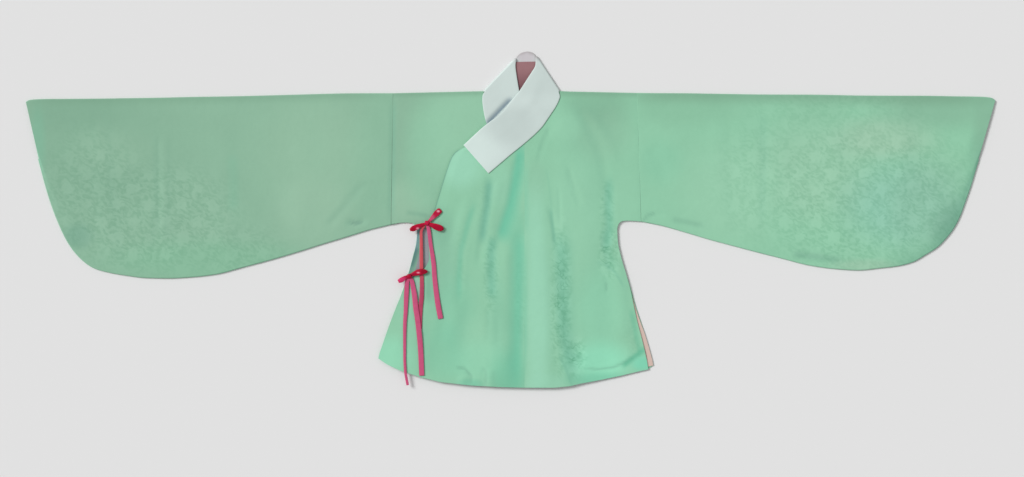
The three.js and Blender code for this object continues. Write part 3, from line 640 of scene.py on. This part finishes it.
def tail_cloth(rows, crown=0.35):
    fine = between(rows, steps(len(rows), 6))
    x, y, w, lift = fine.T
    dx, dy = np.gradient(x), np.gradient(y)
    z = on_flap(x, y) + lift + 0.2
    cloth = Cloth()
    cloth.rows([
        ribbon_row(x[k], y[k], dx[k], dy[k], w[k] / UNIT, z[k],
                   crown * (1 + 0.8 * math.sin(0.31 * k)))
        for k in range(len(fine))
    ])
    return cloth


def loop_cloth(rows):
    """A ribbon out along the lower side of a loop, round its tip and back above."""
    fine = between(rows, np.linspace(0, len(rows) - 1, 25))
    x, y, w = fine.T
    dx, dy = np.gradient(x), np.gradient(y)
    base = float(on_flap(x, y).max()) + 0.9
    s = np.linspace(0, 1, len(fine))
    open_mm = 0.9 + 3.3 * np.sin(np.pi * np.clip(s * 0.62, 0, 1)) ** 1.2
    last = len(fine) - 1
    cloth = Cloth()
    low = [ribbon_row(x[k], y[k], dx[k], dy[k], w[k], base, -0.3) for k in range(len(fine))]
    tip = []
    radius = open_mm[-1] / 2
    length = math.hypot(dx[last], dy[last])
    for turn in np.linspace(0, math.pi, 9)[1:-1]:
        reach = radius * math.sin(turn) / UNIT
        px, py = x[last] + dx[last] / length * reach, y[last] + dy[last] / length * reach
        tip.append(ribbon_row(px, py, dx[last], dy[last], w[last] * (1 - 0.12 * math.sin(turn)),
                              base + radius * (1 - math.cos(turn)), 0.1))
    high = [
        ribbon_row(x[k], y[k], dx[k], dy[k], w[k], base + open_mm[k], 0.9)
        for k in range(last, -1, -1)
    ]
    cloth.rows([*low, *tip, *high])
    return cloth


def knot_cloth(x, y, turn):
    """A band wound round the ribbons: a plump ring, a little wider at its middle."""
    x, y = np.array(float(x)), np.array(float(y))
    centre = at(x, y, on_flap(x, y) + 2.4)
    axis = np.array([math.cos(turn), math.sin(turn), 0])
    side = np.array([-axis[1], axis[0], 0])
    angle = np.linspace(0, 2 * np.pi, 41)[:-1, None]
    rings = []
    for s in np.linspace(-1, 1, 17):
        puff = 0.72 + 0.28 * math.sqrt(max(0, 1 - s * s)) + 0.05 * math.cos(3 * math.pi * s)
        p = centre + axis * 4.9 * s + side * 5 * puff * np.cos(angle)
        p[:, 2] = centre[2] + (2.8 * puff * np.sin(angle))[:, 0]
        rings.append(p)
    cloth = Cloth()
    cloth.rings(rings)
    return cloth


# ---------- colours ----------
def linear(rgb):
    c = np.asarray(rgb, float) / 255
    return np.where(c <= 0.04045, c / 12.92, ((c + 0.055) / 1.055) ** 2.4)


# silk tones for the regions and streaks below: the darker ones serve mostly as painted shade, the lighter
# ones mostly as painted light
SILK = {
    "mint": (145, 204, 170), "sage": (141, 186, 158), "grey": (130, 175, 148), "light": (157, 218, 188),
    "teal": (113, 198, 165), "blue": (113, 181, 155), "deep": (97, 184, 151), "dusk": (110, 162, 139),
    "fresh": (150, 228, 192), "warm": (160, 200, 172), "soft": (153, 196, 167), "shade": (96, 146, 140),
    "shadow": (62, 104, 104), "bright": (153, 212, 178), "clear": (153, 208, 175),
    "haze": (138, 197, 178), "edge": (120, 164, 136), "crown": (134, 187, 156), "mist": (118, 156, 166),
    "lilac": (150, 154, 166), "band": (122, 192, 162), "hem": (103, 186, 152), "lagoon": (129, 216, 182),
    "moss": (138, 195, 165), "leaf": (132, 192, 157), "calm": (138, 194, 161), "dim": (108, 167, 139),
}
# what each piece is dyed, and its regions of tint: x, y, reach across, reach down, colour, share. Most
# regions paint light and shade where folds, rolled edges and the collar's ends catch or lose the light;
# some give the silk's uneven colour
DYES_AND_PAINTED_SHADING = {
    "sleeve_right": ("sage", grid("""
    90 150 100 80 grey 0.55, 72 108 60 26 grey 0.8, 318 150 70 70 soft 0.6, 312 214 46 44 warm 0.45,
    385 160 40 90 mint 0.2, 205 262 120 26 leaf 0.5, 78 236 18 15 dusk 0.5, 116 150 50 26 warm 0.2,
    38 146 9 44 teal 0.2
    """)),
    "body_right": ("sage", grid("""
    404 200 26 26 soft 0.8, 430 160 30 70 mint 0.55, 466 130 54 62 clear 0.75, 395 330 60 60 mint 0.9,
    392 352 30 22 fresh 0.4
    """)),
    "front_flap": ("mint", grid("""
    460 166 26 26 light 0.85, 440 262 22 46 moss 0.75, 454 312 26 44 teal 0.26, 444 352 30 34 teal 0.28,
    480 342 26 34 bright 0.55, 499 320 12 50 band 0.3, 390 356 26 24 fresh 0.5, 509 378 22 32 deep 0.55,
    478 362 34 26 fresh 0.3, 514 226 14 22 teal 0.35, 500 182 14 30 light 0.25, 438 224 18 26 dusk 0.25,
    470 384 16 6 teal 0.5
    """)),
    "body_left": ("mint", grid("""
    538 310 15 130 light 0.72, 600 363 38 25 fresh 0.95, 600 312 32 56 fresh 0.28,
    575 214 34 74 bright 0.85, 596 104 44 26 crown 0.85, 602 134 34 30 sage 0.35, 642 363 13 10 lagoon 0.9,
    600 380 40 9 teal 0.5, 545 384 26 12 light 0.4, 532 215 12 40 light 0.3, 536 180 12 26 sage 0.2,
    626 196 18 30 bright 0.4, 564 126 20 22 bright 0.7
    """)),
    "sleeve_left": ("mint", grid("""
    884 138 58 24 warm 0.65, 815 170 70 60 warm 0.35, 728 196 60 62 clear 0.85, 905 205 70 50 haze 0.5,
    930 200 50 60 sage 0.35, 958 230 30 34 dusk 0.6, 988 140 18 60 grey 0.5, 660 162 26 26 teal 0.14,
    865 265 40 7 warm 0.6, 815 112 40 14 calm 0.4, 686 108 70 22 calm 0.7, 935 108 70 24 grey 0.5
    """)),
    "collar": ("white", grid("""
    478 152 30 26 bright 0.9, 514 126 26 26 cool 0.8, 548 88 18 40 cool 0.4, 492 108 16 36 cool 0.3,
    526 57 14 9 lilac 0.9
    """)),
}
# ribbon tints: x, y, reach across, reach down, colour, share; painted highlights at loop folds and tips,
# painted shade inside the loops and beside the highlights, beside some pinker ribbon
RIBBON_TINTS_AND_HIGHLIGHTS = [
    (417.9, 228.6, 1.7, 1.5, (238, 160, 182), 0.8), (412.4, 229.6, 2.4, 2.4, (150, 0, 28), 0.6),
    (431.6, 218, 4.5, 4.5, (206, 84, 118), 0.9), (437.2, 214.4, 3, 3, (190, 30, 72), 0.6),
    (438.4, 211.3, 1.8, 1.2, (240, 170, 190), 0.85), (437, 227.6, 7, 3.4, (156, 0, 40), 0.8),
    (418.4, 272.6, 1.7, 0.9, (236, 160, 182), 0.9), (424, 271, 4, 3, (136, 0, 32), 0.75),
    (411, 274.4, 5, 2, (154, 2, 46), 0.7), (402, 279.6, 6, 4, (212, 56, 108), 1.0),
    (426.6, 222.8, 3, 2.4, (204, 32, 78), 0.6),
]
# collar tones: white and lilac are the collar's own colour; the others paint light and shade: painted
# light at its lower end, painted shade down the middle of the wide band and along the inner rim of the
# back collar, and a painted shadow in the slit under the outer band's free edge
COLLAR_DYES_AND_PAINTED_SHADING = {
    "white": (208, 222, 218), "bright": (216, 232, 227), "cool": (198, 212, 208),
    "lilac": (205, 198, 203), "slate": (126, 146, 158), "umber": (150, 138, 138),
}
# tinted lines: colour, share, reach to the left and right, path. Most are painted shade along fold
# troughs, seams, hem puckers, underarms and rolled top edges, and painted shadow in the gaps beside the
# flap's and the collar's free edges
STREAKS = {
    "front_flap": paths("""
    teal 0.95 7.5 13: 521 138, 518.5 160, 515 182, 510.5 205, 503 228, 498 246
    blue 0.75 6.5 6.5: 490 174, 488.4 194, 487 208, 483.5 228, 481 248
    band 0.8 8 8: 494 234, 491.5 252, 491.5 276, 492 304
    teal 0.45 5 5: 476 198, 468 224, 461 250, 459 276, 459 306
    teal 0.8 14 11: 520 222, 519.5 262, 518.5 300, 517.5 335, 515 404
    blue 0.2 3 3: 521.3 246, 521.2 300, 520.8 360
    blue 0.15 3 2.4: 488 306, 488.6 324, 487.6 344
    dusk 0.4 2.4 2.4: 455 367, 465 368.4, 470.6 375, 470.4 386
    dusk 0.3 2.5 2.5: 484 366, 486.4 377, 484 390
    dusk 0.5 4 7: 427 250, 427.5 272, 428 306
    lilac 0.5 1.8 2.2: 416 278, 418 286, 419.4 302
    """),
    "body_left": paths("""
    teal 0.25 2 6: 525 160, 525 200, 526 236
    teal 0.42 5 5.5: 523.7 228, 524.4 300, 524 345, 522 392
    blue 0.15 1.8 1.8: 545.4 164, 549.4 188, 551.6 210, 554 236
    blue 0.45 3 3: 550 206, 551.6 220, 553.4 232, 555 246
    band 0.68 11.5 17: 557 224, 561.5 256, 562.5 300, 563 330, 568 356, 575 392
    band 0.4 5 4: 564 350, 574 356, 584 357.4
    blue 0.35 1.6 3: 558 354, 566 370, 573 390
    dusk 0.15 3 3: 549 126, 543 140, 539 152
    dusk 0.12 2.5 3: 567.5 166, 571 180, 575 192
    band 0.7 7 8: 609 172, 608.5 205, 609.5 228, 605 256
    band 0.3 6 11: 604 226, 606 248, 613 274
    blue 0.3 2 3: 594 262, 606 265, 616 274, 625 290
    dusk 0.3 2.2 2.2: 606.6 281, 606.4 292
    dusk 0.4 2 2.4: 580 368.4, 600 369.3, 614 367.4, 626 362, 637 356
    hem 0.5 4 6: 630 306, 634 326, 638 346, 642 358
    hem 0.95 4.5 4.5: 647 347, 639 353, 631 359.6, 620 368
    edge 0.5 8 1: 540 91.5, 600 92, 660 93
    """),
    "sleeve_right": paths("""
    edge 0.42 11 1: 0 99.4, 100 98.2, 200 96.6, 300 94.2, 420 92.6
    dusk 0.2 3 4: 391.6 92, 389 226
    shadow 0.35 3 3: 349 222, 356 223.4, 363 222
    dusk 0.13 4 6: 368 178, 352 199, 326 226
    dusk 0.14 2 2: 157 130, 158 180, 157 236
    teal 0.12 9 9: 232 150, 234 184, 233 214
    """),
    "body_right": paths("""
    blue 0.3 1 5: 393.5 92, 392 226
    shade 0.9 6 12: 417 222, 412 252, 402 282
    mist 0.75 4 5: 417.4 224, 416.4 240, 414 254
    shadow 0.55 3 5: 417 246, 414 258, 410.5 268
    dusk 0.35 4 4: 404 212, 418 214, 430 216
    edge 0.5 7 1: 370 93.4, 430 92.6, 500 91
    """),
    "sleeve_left": paths("""
    edge 0.62 16 1: 600 92.6, 700 93, 830 94.6, 900 95.4, 1040 96.4
    dusk 0.35 2.6 3: 642 222, 648 215, 656 212.6
    dusk 0.28 5 5: 670 219, 686 222, 706 226
    dusk 0.42 6 6: 790 254, 812 256.5, 846 261
    blue 0.12 5 5: 763 106, 764 160, 762 226
    dim 0.45 18 18: 990 122, 983 150, 975 184, 963 212, 947 239, 926 257, 902 267, 870 271
    """),
    "collar": paths("""
    cool 0.5 7 7: 545 74, 536 100, 514 126, 494 142
    slate 0.95 1 6: 484 128, 499 112.6, 514 97
    umber 0.5 2.6 4: 511 62, 519 54, 527 51.4, 535 54, 539 62
    """),
}
FLAP_EDGE = [(xl, yl) for xl, yl, _, _ in FLAP if yl < 232]
STREAKS["front_flap"].append(("shadow", 0.5, 1.3, 1.3, FLAP_EDGE))
# where the woven flowers show: x, y, reach across, reach down, strength
BLOOMS = grid("""
865 196 130 92 1.05, 765 180 60 75 0.6, 835 120 110 40 0.45, 150 218 100 62 1.1, 95 190 60 70 0.8,
235 250 60 34 0.65, 561 300 12 86 1.6, 574 356 14 24 1.6, 607 208 9 30 1.1, 609 252 12 30 1.8,
491 275 9 46 1.1, 485 205 8 32 0.4, 461 262 7 46 0.3, 520 300 8 60 0.3, 633 340 12 36 0.3
""")


def region(x, y, cx, cy, rx, ry):
    return smooth(1.35 - np.hypot((x - cx) / rx, (y - cy) / ry) * 1.1)


def plain_back(points):
    """Share of the plain cloth at points on the garment's back."""
    return 0.85 * smooth((2.6 - points[:, 2]) / 0.8)


def colours_and_painted_shading(name, points, normals):
    """Colours of a piece's points: their dyed colour with painted light and shade, darker and bluer as
    painted shade on fold sides turned away from the key light.
    """
    base, regions = DYES_AND_PAINTED_SHADING[name]
    palette = COLLAR_DYES_AND_PAINTED_SHADING if name == "collar" else SILK
    x, y = plan(points)
    colours = np.tile(linear(palette[base]), (len(x), 1))

    def blend(colour, share):
        colours[:] = colours + (linear(palette[colour]) - colours) * share[:, None]

    for cx, cy, rx, ry, colour, share in regions:
        blend(colour, share * region(x, y, cx, cy, rx, ry))
    for colour, share, left, right, path in STREAKS[name]:
        gap, along, side = near_path(path, x, y)
        ends = smooth(along / 0.18) * smooth((1 - along) / 0.18)
        # the slit's painted shadow falls only on the lower inner band, under the outer band's free edge
        under = points[:, 2] < 7.4 if colour == "slate" else 1.0
        blend(colour, share * ends * under * smooth(1 - gap / np.where(side > 0, right, left)))
    if name != "collar":
        # painted shade, darker and bluer, on fold sides turned away from the key light, and painted light
        # on sides turned towards it
        away_from_light = np.clip(normals[:, 0] * 4.5, -1, 1)
        blend("blue", 0.35 * np.clip(away_from_light, 0, 1))
        blend("light", 0.12 * np.clip(-away_from_light, 0, 1))
        blend("mint", plain_back(points))
    return colours


def bow_colours(points):
    x, y = plan(points)
    colours = np.tile(linear((178, 8, 50)), (len(x), 1))
    for cx, cy, rx, ry, rgb, share in RIBBON_TINTS_AND_HIGHLIGHTS:
        part = share * region(x, y, cx, cy, rx, ry)
        colours += (linear(rgb) - colours) * part[:, None]
    return colours


def silk_bloom(x, y):
    total = np.full(len(x), 0.08)
    for cx, cy, rx, ry, strength in BLOOMS:
        total = np.maximum(total, strength * region(x, y, cx, cy, rx, ry))
    return total


# ---------- objects ----------
def build(name, cloth, thickness, material, slot, edge=0.0):
    """A shell over a mid surface; edge is the share of its width that thins to the rim."""
    points, quads = cloth.arrays()
    mesh = bpy.data.meshes.new("cloth_" + name)
    mesh.from_pydata((points / 1000).tolist(), [], quads.tolist())
    mesh.update()
    mesh.polygons.foreach_set("use_smooth", np.ones(len(mesh.polygons), bool))
    piece = bpy.data.objects.new("cloth_" + name, mesh)
    bpy.context.scene.collection.objects.link(piece)
    if name in DYES_AND_PAINTED_SHADING or slot == "ribbon_crimson":
        normals = np.zeros(len(points) * 3)
        mesh.vertex_normals.foreach_get("vector", normals)
        normals = normals.reshape(-1, 3)
        normals *= np.where(normals[:, 2:] < 0, -1, 1)
        # each point's colour: the dyed colour with painted light and shade on silk and collar, painted
        # highlights and shade on the crimson ribbons
        dye_and_painted_shading = mesh.attributes.new("dye_and_painted_shading", "FLOAT_COLOR", "POINT")
        rgb = colours_and_painted_shading(name, points, normals) if name in DYES_AND_PAINTED_SHADING else bow_colours(points)
        rgba = np.concatenate([rgb, np.ones((len(points), 1))], 1)
        dye_and_painted_shading.data.foreach_set("color", rgba.ravel())
        bloom = mesh.attributes.new("bloom", "FLOAT", "POINT")
        shown = 1 - plain_back(points) * name.startswith("body")
        bloom.data.foreach_set("value", silk_bloom(*plan(points)) * shown)
    wall = piece.modifiers.new("wall", "SOLIDIFY")
    wall.thickness = thickness / 1000
    wall.offset = 0
    if edge:
        group = piece.vertex_groups.new(name="wall")
        u = cloth.width_share
        rim = np.clip(np.minimum(u, 1 - u) / edge, 0, 1)
        weights = np.sqrt(1 - (1 - rim) ** 2)
        start = 0
        for row in cloth.points:
            for k in range(len(row)):
                group.add([start + k], float(weights[k]), "REPLACE")
            start += len(row)
        wall.vertex_group = "wall"
        wall.thickness_vertex_group = 0.15
    piece.data.materials.append(material)
    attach(piece, "root")
    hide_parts(name)
    return piece


class Tree:
    """Short names for building a material's nodes."""

    def __init__(self, name):
        self.material = bpy.data.materials.new(name)
        self.material.use_nodes = True
        self.nodes = self.material.node_tree.nodes
        self.links = self.material.node_tree.links
        self.shader = self.nodes["Principled BSDF"]

    def put(self, socket, value):
        if hasattr(value, "is_output"):
            self.links.new(value, socket)
        elif hasattr(value, "__len__"):
            socket.default_value = tuple(value)
        else:
            socket.default_value = float(value)

    def operate(self, kind, operation, values):
        node = self.nodes.new(kind)
        node.operation = operation
        for socket, value in zip(node.inputs, values):
            self.put(socket, value)
        return node.outputs[0]

    def math(self, operation, *values):
        return self.operate("ShaderNodeMath", operation, values)

    def vector(self, operation, *values):
        return self.operate("ShaderNodeVectorMath", operation, values)

    def plus(self, a, b):
        return self.math("ADD", a, b)

    def minus(self, a, b):
        return self.math("SUBTRACT", a, b)

    def times(self, a, b):
        return self.math("MULTIPLY", a, b)

    def line(self, value, slope, start):
        return self.math("MULTIPLY_ADD", value, slope, start)

    def step(self, value, low, high, to_low=0.0, to_high=1.0):
        node = self.nodes.new("ShaderNodeMapRange")
        node.interpolation_type = "SMOOTHSTEP"
        for socket, v in zip(node.inputs, (value, low, high, to_low, to_high)):
            self.put(socket, v)
        return node.outputs[0]

    def noise(self, x, y, scale, detail=2.0, rough=0.5):
        join = self.nodes.new("ShaderNodeCombineXYZ")
        self.put(join.inputs[0], x)
        self.put(join.inputs[1], y)
        node = self.nodes.new("ShaderNodeTexNoise")
        node.noise_dimensions = "2D"
        self.links.new(join.outputs[0], node.inputs["Vector"])
        self.put(node.inputs["Scale"], scale)
        self.put(node.inputs["Detail"], detail)
        self.put(node.inputs["Roughness"], rough)
        return node.outputs[0]

    def place(self):
        """The drafting position of the shaded point."""
        coord = self.nodes.new("ShaderNodeTexCoord")
        split = self.nodes.new("ShaderNodeSeparateXYZ")
        self.links.new(coord.outputs["Object"], split.inputs[0])
        x = self.line(split.outputs[0], 1000 / UNIT, MIDDLE_X)
        y = self.line(split.outputs[1], -1000 / UNIT, MIDDLE_Y)
        return x, y

    def attribute(self, name, output):
        node = self.nodes.new("ShaderNodeAttribute")
        node.attribute_name = name
        return node.outputs[output]

    def bump(self, height, strength, distance):
        node = self.nodes.new("ShaderNodeBump")
        self.put(node.inputs["Strength"], strength)
        self.put(node.inputs["Distance"], distance)
        self.links.new(height, node.inputs["Height"])
        self.links.new(node.outputs[0], self.shader.inputs["Normal"])

    def finish(self, **values):
        for name, value in values.items():
            self.put(self.shader.inputs[name.replace("_", " ")], value)
        return self.material


FLOWER_X, FLOWER_Y = 32.2, 32.4      # the repeat of the woven flowers
FLOWER_AT = (832.5, 205.2)
LEAF_SLOPE = 0.5
WEAVE_TINT = (1.55, 0.97, 1.25)      # how strongly the weave changes red, green and blue


def flower(tree, x, y, shift, turn):
    """A soft five-petalled flower once in each repeat: 1 on a petal, 0 off it."""
    def local(v, period, anchor):
        turns = tree.line(v, 1 / period, -anchor / period + shift + 0.5)
        part = tree.math("FRACT", turns)
        return tree.line(part, period, -period / 2)

    dx = local(x, FLOWER_X, FLOWER_AT[0])
    dy = local(y, FLOWER_Y, FLOWER_AT[1])
    square = tree.plus(tree.times(dx, dx), tree.times(dy, dy))
    radius = tree.math("SQRT", square)
    angle = tree.math("ARCTAN2", dy, dx)
    petals = tree.math("COSINE", tree.line(angle, 5.0, turn))
    edge = tree.line(petals, 1.2, 6.0)
    inside = tree.minus(edge, radius)
    heart = tree.step(radius, 0.6, 2.4)
    return tree.times(tree.step(inside, -1.6, 1.6),
                     tree.line(heart, 0.35, 0.65))


def silk_material():
    tree = Tree("silk_damask")
    x, y = tree.place()
    wobble = tree.noise(x, y, 0.07, 1.0)
    other = tree.noise(y, x, 0.08, 1.0)
    left = tree.step(x, 430, 445, 6.8, 0.0)
    wx = tree.plus(tree.plus(x, left), tree.line(wobble, 11, -5.5))
    wy = tree.plus(y, tree.line(other, 11, -5.5))
    flowers = tree.math("MAXIMUM", flower(tree, wx, wy, 0.0, tree.times(other, 14)),
                        flower(tree, wx, wy, 0.5, tree.times(wobble, 14)))
    flowers = tree.times(flowers, tree.step(tree.noise(x, y, 0.045), 0.32, 0.52, 0.35))
    c, s = math.cos(LEAF_SLOPE), math.sin(LEAF_SLOPE)
    bend = tree.line(tree.noise(x, y, 0.09, 1.0), 5.0, -2.5)
    sx = tree.plus(x, tree.times(wobble, 5))
    sy = tree.plus(y, tree.times(other, 5))
    along = tree.plus(tree.times(sx, c), tree.times(sy, s))
    cross = tree.plus(tree.minus(tree.times(sy, c),
                                       tree.times(sx, s)), bend)
    stroke = tree.noise(tree.times(along, 0.17), tree.times(cross, 0.33),
                        1.0, 1.0, 0.4)
    leaf = tree.noise(x, y, 0.24, 1.0, 0.5)
    ground = tree.plus(tree.times(tree.step(stroke, 0.4, 0.62), 0.75),
                       tree.times(tree.step(leaf, 0.42, 0.62), 0.35))
    dark = tree.times(ground, tree.line(flowers, -0.85, 1.0))
    bloom = tree.attribute("bloom", "Fac")
    weave = tree.minus(tree.line(flowers, 0.045, 0.05),
                      tree.times(dark, 0.13))
    cloud = tree.line(tree.noise(x, y, 0.03, 3.0), 0.07, -0.035)
    scrawl = tree.math("ABSOLUTE", tree.minus(tree.noise(x, y, 0.19, 0.0), 0.5))
    ink = tree.times(tree.step(scrawl, 0.01, 0.1, 1.0, 0.0),
                    tree.step(tree.noise(y, x, 0.12, 0.0), 0.36, 0.56))
    spots = tree.times(tree.step(tree.noise(x, y, 0.1, 0.0), 0.48, 0.7), 0.5)
    blotch = tree.times(tree.math("MAXIMUM", ink, spots),
                       tree.step(bloom, 0.95, 1.7, 0.0, -0.18))
    fine = tree.times(weave, tree.math("MINIMUM", bloom, 0.85))
    woven = tree.plus(fine, blotch)
    gain = tree.vector("MULTIPLY_ADD", woven, WEAVE_TINT, tree.plus(cloud, 1.0))
    # the colour attribute brings the silk's dyed colour with its painted light and shade
    colour = tree.vector("MULTIPLY", tree.attribute("dye_and_painted_shading", "Color"), gain)
    rough = tree.line(flowers, -0.08, 0.55)
    threads = tree.times(tree.noise(tree.times(x, 0.25), y, 3.4, 1.0), 0.03)
    relief = tree.plus(tree.line(fine, 0.6, threads),
                       tree.times(tree.noise(x, y, 0.12, 3.0), 0.55))
    tree.bump(relief, 0.35, 0.0016)
    return tree.finish(Base_Color=colour, Roughness=rough, Specular_IOR_Level=0.35,
                       Sheen_Weight=0.05)


def collar_material():
    tree = Tree("collar_silk")
    x, y = tree.place()
    cloud = tree.line(tree.noise(x, y, 0.07, 3.0), 0.05, 0.975)
    # the colour attribute brings the collar's painted light, shade and slit shadow
    colour = tree.vector("MULTIPLY", tree.attribute("dye_and_painted_shading", "Color"), cloud)
    threads = tree.times(tree.noise(x, tree.times(y, 0.3), 4.0, 1.0), 0.05)
    relief = tree.plus(threads, tree.times(tree.noise(x, y, 0.2, 2.0), 0.4))
    tree.bump(relief, 0.3, 0.0012)
    return tree.finish(Base_Color=colour, Roughness=0.5, Specular_IOR_Level=0.3,
                       Sheen_Weight=0.05)


def plain_material(name, rgb, roughness, shade, scale=0.2, fade=None):
    """A woven finish of one colour; fade is (y above, y below, colour below)."""
    tree = Tree(name)
    x, y = tree.place()
    share = tree.line(tree.noise(x, y, scale, 2.0), shade, 1 - shade / 2)
    colour = linear(rgb)
    if fade:
        lower = tree.step(y, fade[0], fade[1])
        colour = tree.vector("MULTIPLY_ADD", lower, linear(fade[2]) - colour, colour)
    threads = tree.noise(x, tree.times(y, 0.25), 3.0, 2.0)
    tree.bump(threads, 0.12, 0.0004)
    return tree.finish(Base_Color=tree.vector("MULTIPLY", colour, share),
                       Roughness=roughness, Specular_IOR_Level=0.25)


def bow_material():
    tree = Tree("crimson_ribbon")
    x, y = tree.place()
    shade = tree.line(tree.noise(x, y, 0.5, 2.0), 0.3, 0.85)
    tree.bump(tree.noise(x, tree.times(y, 0.25), 3.0, 2.0), 0.12, 0.0004)
    # the colour attribute brings the bows' painted highlights and shade
    return tree.finish(Base_Color=tree.vector("MULTIPLY", tree.attribute("dye_and_painted_shading", "Color"), shade),
                       Roughness=0.38, Specular_IOR_Level=0.15)


# each finish: its material and its slot
silk = silk_material(), "silk_green"
white = collar_material(), "collar_white"
# the rose lining darkens towards the bottom of the neck opening as painted shade
rose = plain_material(
    "rose_lining", (158, 116, 119), 0.7, 0.08, 0.2, (66, 90, (128, 88, 93))
), "lining_rose"
peach = plain_material("peach_lining", (214, 188, 177), 0.7, 0.05), "lining_peach"
pale = plain_material("pale_facing", (152, 156, 160), 0.7, 0.05), "lining_pale"
pink = plain_material("pink_ribbon", (202, 84, 124), 0.42, 0.22, 0.3), "ribbon_pink"
coral = plain_material(
    "coral_ribbon", (206, 82, 92), 0.42, 0.22, 0.3, (262, 292, (182, 66, 98))
), "ribbon_coral"
crimson = bow_material(), "ribbon_crimson"


def cloth_piece(name, cloth, thickness, finish, flat, edge=0.0):
    piece = build(name, cloth, thickness, *finish, edge)
    points, quads = cloth.arrays()
    a, b, c, d = (points[quads[:, k]] for k in range(4))
    area = 0.5 * np.linalg.norm(np.cross(c - a, d - b), axis=1).sum() / 1e6
    area = min(area, flat[0] * flat[1])


# ---------- the floor first ------------------------------------
bpy.ops.mesh.primitive_plane_add(size=14, location=(0, 0, -0.0002))
floor = bpy.context.object
floor.name = "floor"
ground_tree = Tree("floor")
floor.data.materials.append(ground_tree.finish(Base_Color=(0.8, 0.8, 0.8, 1), Roughness=0.9))

cloth_piece(
    "body_left", body_cloth(BACK_LEFT, FRONT_LEFT, True, outer_front, raised(HEM, 0.9), HEM),
    CLOTH, silk, (0.314, 1.39),
)
cloth_piece("body_right", body_cloth(
    BACK_RIGHT, FRONT_RIGHT, False, inner_front, raised(HEM, 0.9), raised(HEM, 1.8),
), CLOTH, silk, (0.356, 1.385))
cloth_piece("sleeve_left", sleeve_cloth(SLEEVE_LEFT, 1), CLOTH, silk, (0.843, 0.835))
cloth_piece("sleeve_right", sleeve_cloth(SLEEVE_RIGHT, -1), CLOTH, silk, (0.863, 0.87))
cloth_piece("front_flap", sheet_cloth(FLAP, 7, 60, flap_height, CLOTH, (HEM, 110)),
            CLOTH, silk, (0.344, 0.586))
cloth_piece("collar", collar_cloth(), COLLAR_CLOTH, white, (0.0835, 0.72),
            0.05)
cloth_piece("neck_lining", sheet_cloth(NECK_LINING, 6, 24, level(2.4), LINING),
            LINING, rose, (0.145, 0.1))
cloth_piece("vent_lining_left", sheet_cloth(VENT_LINING, 6, 12, level(1.8), LINING),
            LINING, peach, (0.032, 0.176))
over_front = level(FRONT_LIFT + CLOTH + 0.3)
cloth_piece("vent_facing_right", sheet_cloth(VENT_FACING, 6, 12, over_front, LINING),
            LINING, pale, (0.035, 0.146))

TAIL_FLAT = {
    "tie_upper_tail_left": (pink, (0.012, 0.224)),
    "tie_upper_tail_right": (coral, (0.0105, 0.244)),
    "tie_lower_tail_left": (pink, (0.0123, 0.234)),
    "tie_lower_tail_right": (pink, (0.011, 0.255)),
    "tie_upper_base": (crimson, (0.0135, 0.042)),
}
for name, (finish, flat) in TAIL_FLAT.items():
    cloth_piece(name, tail_cloth(TAILS[name]), RIBBON, finish, flat)
for name, rows in LOOPS.items():
    run = 2 * math.dist(rows[0][:2], rows[-1][:2]) * UNIT / 1000 + 0.006
    cloth_piece(name, loop_cloth(rows), RIBBON, crimson, (0.0135, run))
for name, values in KNOTS.items():
    cloth_piece(name, knot_cloth(*values), RIBBON, crimson, (0.0104, 0.0275))

# ---------- camera, straight down ----------
CAMERA_HEIGHT = 8.0
FRAME = (1024, 477)            # the picture's width and height in drafting units
camera_data = bpy.data.cameras.new("camera")
camera_data.sensor_width = 36
camera_data.lens = camera_data.sensor_width * CAMERA_HEIGHT / (FRAME[0] * UNIT / 1000)
camera_data.clip_end = 50
camera = bpy.data.objects.new("camera", camera_data)
middle = at(FRAME[0] / 2, FRAME[1] / 2, 0) / 1000
camera.location = (middle[0], middle[1], CAMERA_HEIGHT)
bpy.context.scene.collection.objects.link(camera)
bpy.context.scene.camera = camera

# ---------- soft studio light ----------
world = bpy.data.worlds.new("studio")
bpy.context.scene.world = world
world.use_nodes = True
background = world.node_tree.nodes["Background"]
background.inputs[0].default_value = (1, 1, 1, 1)
background.inputs[1].default_value = 0.47

TOWARD = Vector((1.0, -0.55, -0.95))
key = bpy.data.lights.new("key", "SUN")
key.energy = 2.3
key.angle = math.radians(22)
light = bpy.data.objects.new("key", key)
light.location = -2 * TOWARD
light.rotation_euler = TOWARD.to_track_quat("-Z", "Y").to_euler()
bpy.context.scene.collection.objects.link(light)
bpy.context.scene.view_settings.view_transform = "Standard"
